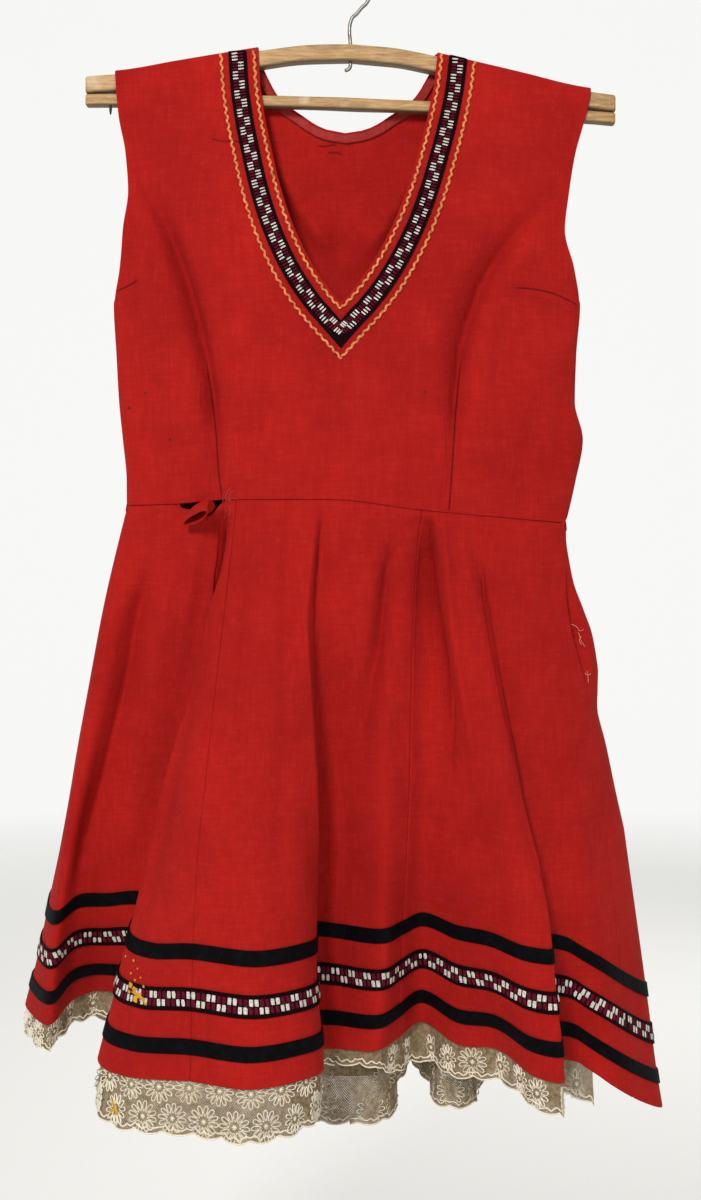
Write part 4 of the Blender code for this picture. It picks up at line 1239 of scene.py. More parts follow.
def daisy():
    """An embroidered daisy: loops of thread for petals round a small raised centre."""
    shapes = []
    turns = np.arange(PETAL_STEPS) * 2 * pi / PETAL_STEPS
    reach = (PETAL_FAR + PETAL_NEAR) / 2 - (PETAL_FAR - PETAL_NEAR) / 2 * np.cos(turns)
    aside = PETAL_WIDTH / 2 * np.sin(turns) * (0.75 + 0.25 * -np.cos(turns))
    for petal in np.arange(PETALS) * 2 * pi / PETALS:
        path = spun(np.stack([reach, aside], axis=1), petal)
        ring_out = unit(path - path.mean(axis=0))
        rows = []
        for away, high in ((1, 0), (0, 1), (-1, 0)):
            flat = path + ring_out * PETAL_THREAD / 2 * away
            rows.append(np.column_stack([flat, np.full(len(flat), PETAL_THREAD * high)]))
        shapes.append((np.concatenate(rows), grid_quads(3, PETAL_STEPS, closed=True)))
    bar, quads = pillow(PETAL_NEAR, PETAL_THREAD, PETAL_THREAD)
    shapes += [(spun(bar, spoke), quads) for spoke in np.arange(3) * pi / 3]
    return joined(shapes)


def scatter_tree():
    """Geometry nodes that put a small shape at each point, turned and sized by the point."""
    tree = bpy.data.node_groups.new("laid stitches", "GeometryNodeTree")
    add = partial(put, tree)
    sockets = {
        "Geometry": "Geometry", "Stitch": "Object", "Finish": "Material",
        "Least size": "Float", "Most size": "Float", "Seed": "Int",
    }
    for name, kind in sockets.items():
        tree.interface.new_socket(name, in_out="INPUT", socket_type=f"NodeSocket{kind}")
    tree.interface.new_socket("Geometry", in_out="OUTPUT", socket_type="NodeSocketGeometry")
    given = tree.nodes.new("NodeGroupInput").outputs
    stitch = add("GeometryNodeObjectInfo", {"Object": given["Stitch"]}, "Geometry")
    along, away = (
        add("GeometryNodeInputNamedAttribute", {"Name": name}, "Attribute", data_type="FLOAT_VECTOR")
        for name in ("along", "away")
    )
    turn = add(
        "FunctionNodeAxesToRotation", {"Primary Axis": away, "Secondary Axis": along},
        primary_axis="Z", secondary_axis="X",
    )
    size = add(
        "FunctionNodeRandomValue",
        {2: given["Least size"], 3: given["Most size"], "Seed": given["Seed"]}, 1,
        data_type="FLOAT",
    )
    copies = add(
        "GeometryNodeInstanceOnPoints",
        {"Points": given["Geometry"], "Instance": stitch, "Rotation": turn, "Scale": size},
    )
    real = add("GeometryNodeRealizeInstances", {"Geometry": copies})
    finished = add("GeometryNodeSetMaterial", {"Geometry": real, "Material": given["Finish"]})
    add("NodeGroupOutput", {"Geometry": finished}, None)
    return tree


def scatter(name, tree, shape, places, finish, seed, sizes=(0.94, 1.06)):
    """A plain mesh of copies of a shape at the places that on_strip gives."""
    points, along, away = places
    stitch = put_mesh(f"{name}_stitch", *shape, finish)
    mesh = bpy.data.meshes.new(f"{name}_places")
    mesh.vertices.add(len(points))
    mesh.vertices.foreach_set("co", (points * MM).ravel())
    give_vectors(mesh, {"along": along, "away": away})
    holder = put_object(f"{name}_places", mesh)
    live = holder.modifiers.new("stitches", "NODES")
    live.node_group = tree
    given = {"Stitch": stitch, "Finish": finish, "Seed": seed}
    given["Least size"], given["Most size"] = sizes
    for item in tree.interface.items_tree:
        if item.in_out == "INPUT" and item.name in given:
            live[item.identifier] = given[item.name]
    seen = holder.evaluated_get(bpy.context.evaluated_depsgraph_get())
    plain = bpy.data.meshes.new_from_object(seen)
    plain.name = name
    for helper in (holder, stitch):
        bpy.data.objects.remove(helper, do_unlink=True)
    return put_object(name, plain)


def tufts(name, threads, finish):
    """Loose threads, each along its own points and the cloth's normals there."""
    shapes = [tube(path, away, LOOSE_THREAD, LOOSE_THREAD, 4) for path, away in threads]
    return put_mesh(name, *joined(shapes), finish)


def on_skirt(grid, out, places):
    """Points of the skirt's front face at places in X and Z, and their normals."""
    points, aways = [], []
    for x, z in places:
        far = np.hypot(grid[..., 0] - x, grid[..., 2] - z)
        near = np.where((far < 7) & (out[..., 1] < -0.1), grid[..., 1] + far * 2, 1e9)
        row, column = np.unravel_index(np.argmin(near), near.shape)
        point, away = grid[row, column], out[row, column]
        y = point[1] - (away[0] * (x - point[0]) + away[2] * (z - point[2])) / away[1]
        points.append((x, y, z))
        aways.append(away)
    return np.array(points), np.array(aways)


def blots(name, grid, out, places, lift, paint):
    """Flat dabs of dried paint on the cloth."""
    spots = np.array(places)
    face, away = on_skirt(grid, out, spots[:, :2])
    dab, quads = pillow(*DAB)
    shapes = []
    for place, turn, size in zip(face + away * lift, away, spots[:, 2]):
        side = unit(np.cross(turn, (0.3, 0.0, 1.0)))
        up = np.cross(turn, side)
        flat = dab[:, :1] * side + dab[:, 1:2] * up
        shapes.append((place + size * flat + dab[:, 2:] * turn, quads))
    return put_mesh(name, *joined(shapes), paint)


def on_dress(piece, slot_name, *nodes):
    """Puts a piece on the root body and hides the CAD nodes that it stands for; slot_name is not used."""
    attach(piece, "root")
    if nodes:
        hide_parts(*nodes)


# Materials


def begin(name):
    """A new material, what adds a node to it, and its object coordinates in metres."""
    made = bpy.data.materials.new(name)
    made.use_nodes = True
    made.node_tree.nodes.clear()
    add = partial(put, made.node_tree)
    return made, add, add("ShaderNodeTexCoord", output="Object")


def close(add, looks, height, strength, distance):
    """Ends a material with a bump of its height, the main shader and the output."""
    bump = add("ShaderNodeBump", {"Height": height, "Strength": strength, "Distance": distance})
    shader = add("ShaderNodeBsdfPrincipled", {**looks, "Normal": bump})
    add("ShaderNodeOutputMaterial", {"Surface": shader}, None)


def fibres(scale, detail=3.0, roughness=0.5):
    """How fine an unevenness is, and how it is made up of still finer ones."""
    return {"Scale": scale, "Detail": detail, "Roughness": roughness}


def patches(add, where, fineness, low, high, least=0.0, most=1.0):
    """Uneven places: from least to most as their noise goes from low to high."""
    field = add("ShaderNodeTexNoise", {"Vector": where, **fineness})
    return add("ShaderNodeMapRange", [field, low, high, least, most])


def layered(add, ground, *coats):
    """A ground colour with others laid over it, each by its own share."""
    tone = linear(ground)
    for share, code in coats:
        tone = add("ShaderNodeMix", {0: share, 6: tone, 7: linear(code)}, 2, data_type="RGBA")
    return tone


def weighed(add, *terms):
    """The sum of several heights, each times its weight."""
    total = 0.0
    for height, weight in terms:
        total = add("ShaderNodeMath", [height, weight, total], operation="MULTIPLY_ADD")
    return total


def ribs(add, way, pitch):
    """Ridges across a way, from -1 to 1, each a pitch in millimetres from the next."""
    turn = add("ShaderNodeMath", [way, 2 * pi / pitch], operation="MULTIPLY")
    return add("ShaderNodeMath", [turn], operation="SINE")


def spots_of(add, label):
    """The first two parts of what put_mesh keeps at the points under this name."""
    spots = add("ShaderNodeAttribute", output="Vector", attribute_name=label)
    split = add("ShaderNodeSeparateXYZ", [spots], None)
    return split.outputs["X"], split.outputs["Y"]


def wool_material(name, lit, deep, worn):
    """Napped wool cloth: a fuzzy surface with faint uneven dye, rubbed, duller places, and a groove with
    painted shade in it along the darts' lines.

    Its threads are drawn about 2 mm apart, coarser than real ones, so that they show.
    """
    made, add, where = begin(name)
    dye = patches(add, where, fibres(8.0, 6.0, 0.72), 0.36, 0.66)
    rub = patches(add, where, fibres(31.0, 5.0, 0.6), 0.52, 0.8, 0.0, 0.35)
    nap = add("ShaderNodeTexNoise", {"Vector": where, **fibres(620.0, 4.0, 0.7)})
    lump = add("ShaderNodeTexNoise", {"Vector": where, **fibres(95.0, 4.0)})
    threads = []
    for scale in ((60.0, 60.0, 480.0), (420.0, 420.0, 45.0)):
        run = add("ShaderNodeMapping", {"Vector": where, "Scale": scale})
        thread = add("ShaderNodeTexNoise", {"Vector": run, **fibres(1.0, 2.0)})
        threads.append((thread, 1.0))
    slub = weighed(add, *threads)
    # The darts' lines: a groove in the bump, and painted shade in the colour
    aside, shown = spots_of(add, "seam")
    aside = add("ShaderNodeMath", [aside], operation="ABSOLUTE")
    dart_groove_and_shade = add("ShaderNodeMapRange", [aside, 0.2, 1.0, 0.75, 0.0])
    dart_groove_and_shade = add("ShaderNodeMath", [dart_groove_and_shade, shown], operation="MULTIPLY")
    tone = layered(
        add, deep,
        (dye, lit),
        (rub, worn),
        (add("ShaderNodeMapRange", [nap, 0.3, 0.75, 0.0, 0.4]), deep),
        (add("ShaderNodeMapRange", [slub, 0.92, 1.3, 0.0, 0.45]), deep),
        (add("ShaderNodeMapRange", [slub, 0.97, 0.66, 0.0, 0.33]), worn),
        # painted shade along the darts' lines
        (dart_groove_and_shade, "3A080A"),
    )
    height = weighed(add, (nap, 1.0), (lump, 1.4), (slub, 1.0), (dart_groove_and_shade, -2.0))
    rough = add("ShaderNodeMapRange", [nap, 0.2, 0.8, 0.86, 0.98])
    looks = {
        "Base Color": tone, "Roughness": rough, "Sheen Weight": 0.05, "Sheen Roughness": 0.5,
        "Sheen Tint": linear("E0584A"), "Specular IOR Level": 0.12,
    }
    close(add, looks, height, 0.5, 0.0006)
    return made


def tape_material():
    """Black cotton tape with a ribbed weave and a faint blue sheen."""
    made, add, where = begin("black cotton tape")
    along, down = spots_of(add, "cloth")
    crossing = [ribs(add, down, 0.9), ribs(add, along, 0.7)]
    weave = add("ShaderNodeMath", crossing, operation="MULTIPLY")
    dust = patches(add, where, fibres(140.0, 5.0, 0.65), 0.5, 0.75)
    rough = add("ShaderNodeMapRange", [weave, -1.0, 1.0, 0.55, 0.8])
    looks = {
        "Base Color": layered(add, "050507", (dust, "101016")), "Roughness": rough,
        "Sheen Weight": 0.03, "Sheen Roughness": 0.4, "Sheen Tint": linear("5C6690"),
        "Specular IOR Level": 0.05,
    }
    close(add, looks, weave, 0.35, 0.0003)
    return made


def braid_material():
    """The braid's ground: dark threads in fine crosswise ribs, maroon on the ribs' tops."""
    made, add, where = begin("dark woven braid")
    along, down = spots_of(add, "cloth")
    rib, thread = ribs(add, along, 1.5), ribs(add, down, 0.8)
    speck = patches(add, where, fibres(500.0), 0.4, 0.65, 0.0, 0.4)
    maroon = add("ShaderNodeMapRange", [rib, 0.0, 1.5])
    rough = add("ShaderNodeMapRange", [thread, -1.0, 1.0, 0.6, 0.85])
    looks = {
        "Base Color": layered(add, "060405", (maroon, "34101A"), (speck, "0A0709")),
        "Roughness": rough, "Specular IOR Level": 0.04,
    }
    close(add, looks, weighed(add, (rib, 1.0), (thread, 0.4)), 0.6, 0.0004)
    return made


def thread_material(name, light, dark, scale=900.0, rough=0.6, shine=0.4):
    """Spun thread, or a fine crust like it: small fibres, with painted shade darkening the hollows between
    them.
    """
    made, add, where = begin(name)
    fineness = fibres(scale, 4.0, 0.65)
    fibre = add("ShaderNodeTexNoise", {"Vector": where, "Distortion": 0.4, **fineness})
    # Painted shade: the dark colour where the fibres' bump is low, the light one on their tops
    lit = add("ShaderNodeMapRange", [fibre, 0.35, 0.62])
    patch = patches(add, where, fibres(60.0), 0.4, 0.7, 0.0, 0.3)
    looks = {
        "Base Color": layered(add, dark, (lit, light), (patch, dark)),
        "Roughness": add("ShaderNodeMapRange", [fibre, 0.3, 0.7, rough, rough + 0.2]),
        "Specular IOR Level": shine,
    }
    close(add, looks, fibre, 0.5, 0.0003)
    return made


def net_material():
    """Fine taupe net: round threads with open cells about 2 mm wide between them."""
    made, add, where = begin("taupe tulle net")
    along, down = spots_of(add, "cloth")
    lines = []
    for slope in (1.0, -1.0):
        line = ribs(add, weighed(add, (along, 1.0), (down, slope)), 2 * NET_CELL)
        lines.append(add("ShaderNodeMath", [line], operation="ABSOLUTE"))
    nearest = add("ShaderNodeMath", lines, operation="MINIMUM")
    uneven = patches(add, where, fibres(120.0), 0.3, 0.7, 0.78, 0.94)
    worn = patches(add, where, fibres(300.0, 4.0), 0.35, 0.65)
    looks = {
        "Base Color": layered(add, "6E5B40", (worn, "988565")),
        "Alpha": add("ShaderNodeMath", [nearest, uneven], operation="LESS_THAN"),
        "Roughness": add("ShaderNodeMapRange", [nearest, 0.0, 0.5, 0.7, 0.9]),
    }
    close(add, looks, nearest, 0.3, 0.0002)
    return made


def wood_material():
    """Old beech: long grain with knots, rubbed pale in places, with painted shade that darkens its
    underside.
    """
    made, add, where = begin("old beech")
    run = add("ShaderNodeMapping", {"Vector": where, "Scale": (6.0, 60.0, 60.0)})
    grain = add(
        "ShaderNodeTexNoise", {"Vector": run, "Distortion": 0.6, **fibres(9.0, 6.0, 0.6)}
    )
    fleck = add("ShaderNodeTexNoise", {"Vector": run, **fibres(60.0, 4.0, 0.6)})
    cell = add("ShaderNodeTexVoronoi", {"Vector": where, "Scale": 17.0}, "Distance")
    low, _ = spots_of(add, "under")
    tone = layered(
        add, "8C6A3E",
        (add("ShaderNodeMapRange", [grain, 0.3, 0.7]), "CBA26C"),
        (add("ShaderNodeMapRange", [fleck, 0.55, 0.75, 0.0, 0.5]), "8A5A32"),
        (patches(add, where, fibres(16.0, 4.0), 0.45, 0.72, 0.0, 0.4), "7A5532"),
        (add("ShaderNodeMapRange", [cell, 0.06, 0.15, 0.7, 0.0]), "5E3C20"),
        (patches(add, where, fibres(38.0), 0.6, 0.7, 0.0, 0.35), "E0CFAE"),
        # Painted shade: darker towards the bottom of each strip's profile
        (add("ShaderNodeMapRange", [low, 0.8, 0.97, 0.0, 0.75]), "35281A"),
    )
    rough = add("ShaderNodeMapRange", [fleck, 0.3, 0.7, 0.5, 0.75])
    height = weighed(add, (grain, 1.0), (fleck, 1.0))
    close(add, {"Base Color": tone, "Roughness": rough}, height, 0.3, 0.0004)
    return made


def steel_material():
    """Dull steel wire, a little rusty where it was bent."""
    made, add, where = begin("dull steel wire")
    rust = patches(add, where, fibres(160.0, 5.0, 0.65), 0.5, 0.72, 0.0, 0.6)
    scratch = add("ShaderNodeTexNoise", {"Vector": where, **fibres(900.0)})
    looks = {
        "Base Color": layered(add, "8C8880", (rust, "4B3B30")), "Metallic": 1.0,
        "Roughness": add("ShaderNodeMapRange", [scratch, 0.3, 0.7, 0.32, 0.5]),
    }
    close(add, looks, scratch, 0.2, 0.0002)
    return made


def floor_material():
    """A matt pale floor that fades out far away."""
    made, add, where = begin("pale studio floor")
    far = add("ShaderNodeVectorMath", [where], "Value", operation="LENGTH")
    grit = add("ShaderNodeTexNoise", {"Vector": where, **fibres(240.0, 4.0)})
    share = add("ShaderNodeMapRange", [grit, 0.3, 0.7, 0.0, 0.4])
    looks = {
        "Base Color": layered(add, "ECEBE8", (share, "E4E3DF")), "Roughness": 0.9,
        "Alpha": add("ShaderNodeMapRange", [far, *FLOOR_FADE, 1.0, 0.0]),
    }
    close(add, looks, grit, 0.1, 0.0002)
    return made


# The hanger


def plank(name, top, height, depth, finish):
    """A bent strip of old wood with rounded, slightly uneven edges and faceted ends."""
    side, low = depth / 2 - WOOD_ROUND, WOOD_ROUND - height
    corners = [(side, -WOOD_ROUND), (-side, -WOOD_ROUND), (-side, low), (side, low)]
    profile = [
        (y + WOOD_ROUND * cos(turn), z + WOOD_ROUND * sin(turn))
        for quarter, (y, z) in enumerate(corners)
        for turn in np.linspace(quarter, quarter + 1, 5) * pi / 2
    ]
    profile = np.array(profile[::-1])
    ins, sizes = np.array(WOOD_ENDS).T
    inner = HANGER_HALF - WOOD_INNER
    ends = HANGER_HALF - ins
    xs = np.concatenate([-ends, np.linspace(-inner, inner, WOOD_SECTIONS), ends[::-1]])
    shrink = np.concatenate([sizes, np.ones(WOOD_SECTIONS), sizes[::-1]])
    middle = np.array([0, -height / 2])
    points = np.empty((len(xs), len(profile), 3))
    points[..., 0] = xs[:, None]
    points[..., 1:] = (profile - middle) * shrink[:, None, None] + middle
    points[..., 2] += top(xs)[:, None]
    wear = np.abs(ripple(points * (1.0, 5.0, 5.0))) * WOOD_WEAR
    points += grid_normals(points, closed=True) * wear[..., None]
    quads = [grid_quads(*points.shape[:2], closed=True)]
    count = len(profile)
    for start, way in ((0, 1), ((len(xs) - 1) * count, -1)):
        for i in range(count // 2 - 1):
            corners = [i, i + 1, count - 2 - i, count - 1 - i]
            quads.append(np.array([[start + c for c in corners[::way]]]))
    # How far down the profile each point lies, 0 at its top and 1 at its bottom: the wood's material
    # paints shade by it on the underside
    low = np.broadcast_to(-profile[None, :, 1] / height, points.shape[:2])
    spots = {"under": np.stack([low, 0 * low, 0 * low], axis=-1)}
    return put_mesh(name, points.reshape(-1, 3), np.concatenate(quads), finish, spots)


def build_hanger(wood, steel, iron):
    """The arch and the lower bar, the wire hook, and a rusted nail."""
    for label, top, height, depth in (
        ("arch", arch_top, ARCH_HEIGHT, ARCH_DEPTH),
        ("bar", bar_top, BAR_HEIGHT, BAR_DEPTH),
    ):
        strip = plank(f"hanger_{label}_wood", top, height, depth, wood)
        on_dress(strip, "wood", f"hanger_{label}")
    under = ARCH_TOP - ARCH_HEIGHT
    places = [(x, 0, under - HOOK_TAIL_DROP + up) for x, up in HOOK_TAIL]
    places += [(0, 0, under), (0, 0, ARCH_TOP)]
    places += [(x, 0, HOOK_SHANK_TOP + up) for x, up in HOOK_NECK]
    middle = WIRE / 2 - HOOK_RADIUS
    for angle in np.radians(np.arange(*HOOK_TURNS)):
        places.append((HOOK_RADIUS * cos(angle), 0, middle + HOOK_RADIUS * sin(angle)))
    path = smooth_path(places, HOOK_POINTS)
    front = np.tile([0.0, -1.0, 0.0], (HOOK_POINTS, 1))
    wire = put_mesh("hanger_hook_wire", *tube(path, front, WIRE, WIRE, WIRE_SIDES), steel)
    on_dress(wire, "steel", "hanger_hook")
    x, y, head, point = NAIL
    path = np.linspace((x, y, head), (x, y, point), 5)
    nail = tube(path, front[:5], NAIL_WIDTH, NAIL_WIDTH, WIRE_SIDES)
    on_dress(put_mesh("hanger_nail", *nail, iron), "steel")


# The bodice's pieces


def woven_blocks(name, weave, face, away, finishes, tree):
    """A braid's raised floats: a piece for each colour."""
    places = {colour: [] for colour in BRAID_COLOURS}
    end = middle_lengths(face)[-1] - weave.margin
    for k, way in enumerate(np.arange(weave.margin, end, weave.pitch)):
        for row, down in enumerate(weave.rows):
            turn = (k // weave.run + row + weave.first) % 2
            places[BRAID_COLOURS[turn]].append((way, down))
    block = pillow(*weave.block, BLOCK_HEIGHT)
    for seed, colour in enumerate(BRAID_COLOURS):
        laid = on_strip(face, away, places[colour])
        floats = scatter(f"{name}_{colour}", tree, block, laid, finishes[colour], seed)
        on_dress(floats, "braid")


def build_panels(finishes):
    """The bodice's front and back."""
    for side in (FRONT, BACK):
        panel, area = bodice_panel(f"bodice_{side.name}_cloth", side, finishes["wool"])
        on_dress(panel, "wool", f"bodice_{side.name}")


def build_neck_braid(finishes, tree):
    """The braid round the neck, with its woven blocks."""
    half = NECK_BRAID_WIDTH / 2
    distances = np.linspace(NECK_BRAID_AT - half, NECK_BRAID_AT + half, NECK_BRAID_ROWS)
    face, out = neck_strip(FRONT, NECK_STATIONS, distances, trim_top)
    face = face + out * (NECK_LAID_GAP + TRIM)
    braid = strip_wall("neck_braid_ground", face, out, TRIM, finishes["braid"])
    on_dress(braid, "braid", "neck_braid")
    woven_blocks("neck_braid", NECK_WEAVE, face, out, finishes, tree)


def build_ricrac(finishes):
    """The two zigzag tapes beside the neck's braid."""
    for label, at in (("inner", INNER_RICRAC_AT), ("outer", OUTER_RICRAC_AT)):
        distances = at + np.array([-1, 0, 1]) * RICRAC_REACH
        face, out = neck_strip(FRONT, NECK_STATIONS, distances, trim_top)
        face = face + out * (NECK_LAID_GAP + RICRAC_OFF)
        ways = np.arange(0, middle_lengths(face)[-1], RICRAC_PITCH / RICRAC_STEPS)
        downs = RICRAC_REACH + RICRAC_SWING * np.sin(2 * pi * ways / RICRAC_PITCH)
        points, _, away = on_strip(face, out, np.stack([ways, downs], axis=1))
        name = f"neck_ricrac_{label}"
        cord = put_mesh(f"{name}_tape", *tube(points, away, *RICRAC_TAPE), finishes["ricrac"])
        on_dress(cord, "ricrac", name)


def build_facing(finishes):
    """The strip that faces the back neckline inside."""
    distances = np.linspace(FACING_NEAR, FACING_FAR, FACING_ROWS)
    face, out = neck_strip(BACK, NECK_STATIONS // 2, distances, facing_top)
    face = face - out * (CLOTH * HEMMED + NECK_LAID_GAP)
    # Its quads run against its normals, which draws its edges in, and are turned afterwards
    quads = grid_quads(*face.shape[:2])[:, ::-1]
    spots = {"cloth": strip_spots(face)}
    name, finish = "back_neck_facing_strip", finishes["facing"]
    facing = wall(name, face, -out, quads, TRIM, finish, spots)
    facing.data.flip_normals()
    on_dress(facing, "facing", "back_neck_facing")


def build_bodice_threads(finishes, tree):
    """Loose threads on the bodice's front and inside its back, and dark specks."""
    for side in (FRONT, BACK):
        for colour, paths in side.threads.items():
            threads = []
            for path in paths:
                x, z = smooth_path(path, 12).T
                face, out = bodice_surface(side, x, z)
                threads.append((face + out * side.thread_lift, out * -side.way))
            name = f"bodice_{side.name}_{colour}_threads"
            on_dress(tufts(name, threads, finishes[f"{colour} thread"]), "wool")
    x, z = np.array(SPECKS, float).T
    face, out = bodice_surface(FRONT, x, z)
    along = unit(np.cross(out, (0.0, 0.0, 1.0)))
    specks = scatter(
        "bodice_specks", tree, pillow(*SPECK), (face, along, out), finishes["dark thread"], 3,
        (0.7, 1.3),
    )
    on_dress(specks, "wool")


# The skirt's pieces


def tucked_top(face, away):
    """The skirt's top turned in behind the bodice, but not where it has torn out."""
    x = face[0, :, 0]
    torn = smoothstep(x, TEAR_LEFT - 3, TEAR_LEFT + 1)
    torn = torn * smoothstep(-x, -TEAR_RIGHT - 3, -TEAR_RIGHT)
    held = np.where(face[0, :, 1] < 0, np.maximum(1 - torn, TUCK_TORN), 1.0)[:, None]
    level = unit(away[0] * (1, 1, 0))
    sides = TUCK_SIDES * smoothstep(np.abs(x), *TUCK_SIDES_FROM) * np.sign(x)
    rows = []
    for up, inside in TUCK:
        row = face[0] + (np.array([0, 0, up]) - level * inside) * held
        row[:, 0] -= sides * min(up, 1.0)
        rows.append(row)
    return np.concatenate([np.array(rows), face])


def pocket_gapes(parts):
    """How wide the pocket's opening gapes at each part of the way down."""
    along = np.clip((parts / BAND_PART - POCKET_TOP) / (POCKET_BOTTOM - POCKET_TOP), 0, 1)
    return POCKET_GAPE * np.sin(pi * along)


def pocket_lip(face, away, parts):
    """Runs the back panel's edge on behind the pocket's opening."""
    gapes = pocket_gapes(parts)[:, None]
    way = unit(face[:, 0] - face[:, 2])
    for column in range(SEAM_REACH):
        inside = away[:, column] * POCKET_DEEP / POCKET_GAPE
        face[:, column] += (way * POCKET_LIP - inside) * gapes * (1 - column / SEAM_REACH)


def pocket_mouth(face, parts):
    """Draws the front panel's last columns back along the pocket's opening."""
    zone = face[:, -POCKET_REACH - 1 :]
    for row, gape in zip(zone, pocket_gapes(parts)):
        ways = lengths_along(row)
        wanted = ways - min(gape, ways[-1] * POCKET_MOST) * (ways / ways[-1]) ** 2
        row[:] = np.stack([np.interp(wanted, ways, axis) for axis in row.T], axis=1)


def build_gores(grid, out, parts, finishes):
    """The skirt's six gores, hung from the bodice, with the pocket's opening in a side seam."""
    for node, first, last in SKIRT_GORES:
        face, away = slice_of(grid, first, last), slice_of(out, first, last)
        if node == "skirt_front_right":
            pocket_mouth(face, parts)
        if node == "skirt_back_right":
            pocket_lip(face, away, parts)
        face = drawn_in(face, SEAM_GAP / 2 + BULGE)
        whole = tucked_top(face, away)
        quads = grid_quads(*whole.shape[:2])
        points = whole.reshape(-1, 3)
        turned = point_normals(points, quads)
        gore = wall(f"{node}_cloth", points, turned, quads, CLOTH, finishes["wool"])
        on_dress(gore, "wool", node)


def build_bands(grid, out, parts, finishes, tree):
    """The two black tapes and the braid round the skirt, front and back."""
    for where, first, last in BAND_SIDES:
        for label, trim in BANDS:
            top, bottom = (hem_part(distance) for distance in trim)
            rows = (parts > top - 1e-5) & (parts < bottom + 1e-5)
            away = slice_of(out[rows], first, last)
            face = slice_of(grid[rows], first, last) + away * (LAID_GAP + TRIM)
            face = drawn_in(face, SEAM_GAP / 2 + TRIM * EDGE_ROUND)
            finish, slot_name = ("braid", "braid") if label == "braid_hem" else ("tape", "ribbon")
            laid = strip_wall(f"{label}_{where}_tape", face, away, TRIM, finishes[finish])
            on_dress(laid, slot_name, f"{label}_{where}")
            if label == "braid_hem":
                woven_blocks(f"{label}_{where}", HEM_WEAVE, face, away, finishes, tree)


def build_marks(grid, out, finishes):
    """Loose threads at the tear and the pocket, and dried paint on the left ridge."""
    for colour, paths in SKIRT_THREADS.items():
        threads = []
        for path in paths:
            face, away = on_skirt(grid, out, smooth_path(path, 10))
            threads.append((face + away * (LOOSE_THREAD / 2 + SKIRT_THREAD_OFF), away))
        tuft = tufts(f"skirt_{colour}_threads", threads, finishes[f"{colour} thread"])
        on_dress(tuft, "wool")
    lift = LAID_GAP + TRIM + PAINT_OFF
    marks = blots("skirt_yellow_blots", grid, out, BLOTS, lift, finishes["paint"])
    on_dress(marks, "wool")


def lace_drops(first, last):
    """How far the lace hangs under the hem at each column."""
    drops = [
        fold.lace + (FOLDS[(i + 1) % len(FOLDS)].lace - fold.lace) * step / (fold.columns * FINE)
        for i, fold in enumerate(FOLDS)
        for step in range(fold.columns * FINE)
    ]
    return slice_of(np.array(drops)[None, :], first, last)[0]


def lace_sheet(grid, out, parts, first, last):
    """The lace's face, sewn inside the hem and hanging in small ruffles below it."""
    rows = parts > hem_part(LOWER_BAND[1]) - 1e-6
    away = slice_of(out[rows], first, last)
    face = slice_of(grid[rows], first, last) - away * (CLOTH + LACE_BEHIND)
    slope = unit(face[-1] - face[0])
    way = unit(slope * (1 - LACE_HANG) + np.array([0, 0, -LACE_HANG]))
    ways = lengths_along(face[-1])
    lobe = np.abs(np.sin(pi * ways / SCALLOP)) ** SCALLOP_ROUND
    drop = lace_drops(first, last) + SCALLOP_DEPTH * (lobe - 1)
    stray = RUFFLE_STRAY * np.sin(2 * pi * ways / RUFFLE_STRAY_PITCH)
    wave = RUFFLE * np.sin(2 * pi * ways / RUFFLE_PITCH + stray)
    hanging = [
        face[-1] + way * (drop * part)[:, None] + away[-1] * (wave * part**RUFFLE_GROWTH)[:, None]
        for part in np.linspace(0, 1, LACE_ROWS + 1)[1:]
    ]
    face = np.concatenate([face, hanging])
    out = np.concatenate([away, grid_normals(face, closed=False)[-LACE_ROWS:]])
    return drawn_in(face, NET * EDGE_ROUND), out


def lace_cords(face, away):
    """The cords along the lace's scalloped edge: one straight and one waving above it."""
    rise, ways = unit(face[-2] - face[-1]), lengths_along(face[-1])
    cords = []
    for back, swing in CORDS:
        up = back + CORD / 2 + swing * np.sin(2 * pi * ways / CORD_WAVE)
        cords.append(tube(face[-1] + rise * up[:, None], away[-1], CORD, CORD))
    return joined(cords)


def daisy_places(face):
    """Ways along and down the lace of its daisies, in two rows by turns."""
    ways, tall = middle_lengths(face), column_lengths(face)
    places = []
    for row, up in enumerate(DAISY_ROWS):
        start = DAISY_PITCH * (0.5 + row / 2)
        for way in np.arange(start, ways[-1] - DAISY_END, DAISY_PITCH):
            down = np.interp(way, ways, tall) - up
            if down > LOWER_BAND[1] + DAISY_TOP:
                places.append((way, down))
    return places


def build_lace(grid, out, parts, finishes, tree):
    """The lace in its four lengths: net, corded edge and embroidered daisies."""
    for node, first, last in LACE_LENGTHS:
        face, away = lace_sheet(grid, out, parts, first, last)
        net = strip_wall(f"{node}_net", face, away, NET, finishes["net"])
        on_dress(net, "lace", node)
        if node == "lace_front_left":
            lift = PETAL_THREAD + LACE_PAINT_OFF
            marks = blots("lace_yellow_blots", face, away, LACE_BLOTS, lift, finishes["paint"])
            on_dress(marks, "lace")
        edge = put_mesh(f"{node}_cord", *lace_cords(face, away), finishes["cream"])
        on_dress(edge, "lace")
        places = on_strip(face, away, daisy_places(face))
        flowers = scatter(f"{node}_daisies", tree, daisy(), places, finishes["cream"], 7)
        on_dress(flowers, "lace")


def build_skirt(finishes, tree):
    """The skirt with its bands, marks and lace."""
    trims = [hem_part(np.linspace(*trim, TRIM_ROWS)) for _, trim in BANDS]
    parts = np.concatenate([np.linspace(0, 1, SKIRT_ROWS + 1), *trims])
    parts = np.unique(np.round(parts, 6))
    grid, out = skirt_surface(parts)
    build_gores(grid, out, parts, finishes)
    build_bands(grid, out, parts, finishes, tree)
    build_marks(grid, out, finishes)
    build_lace(grid, out, parts, finishes, tree)


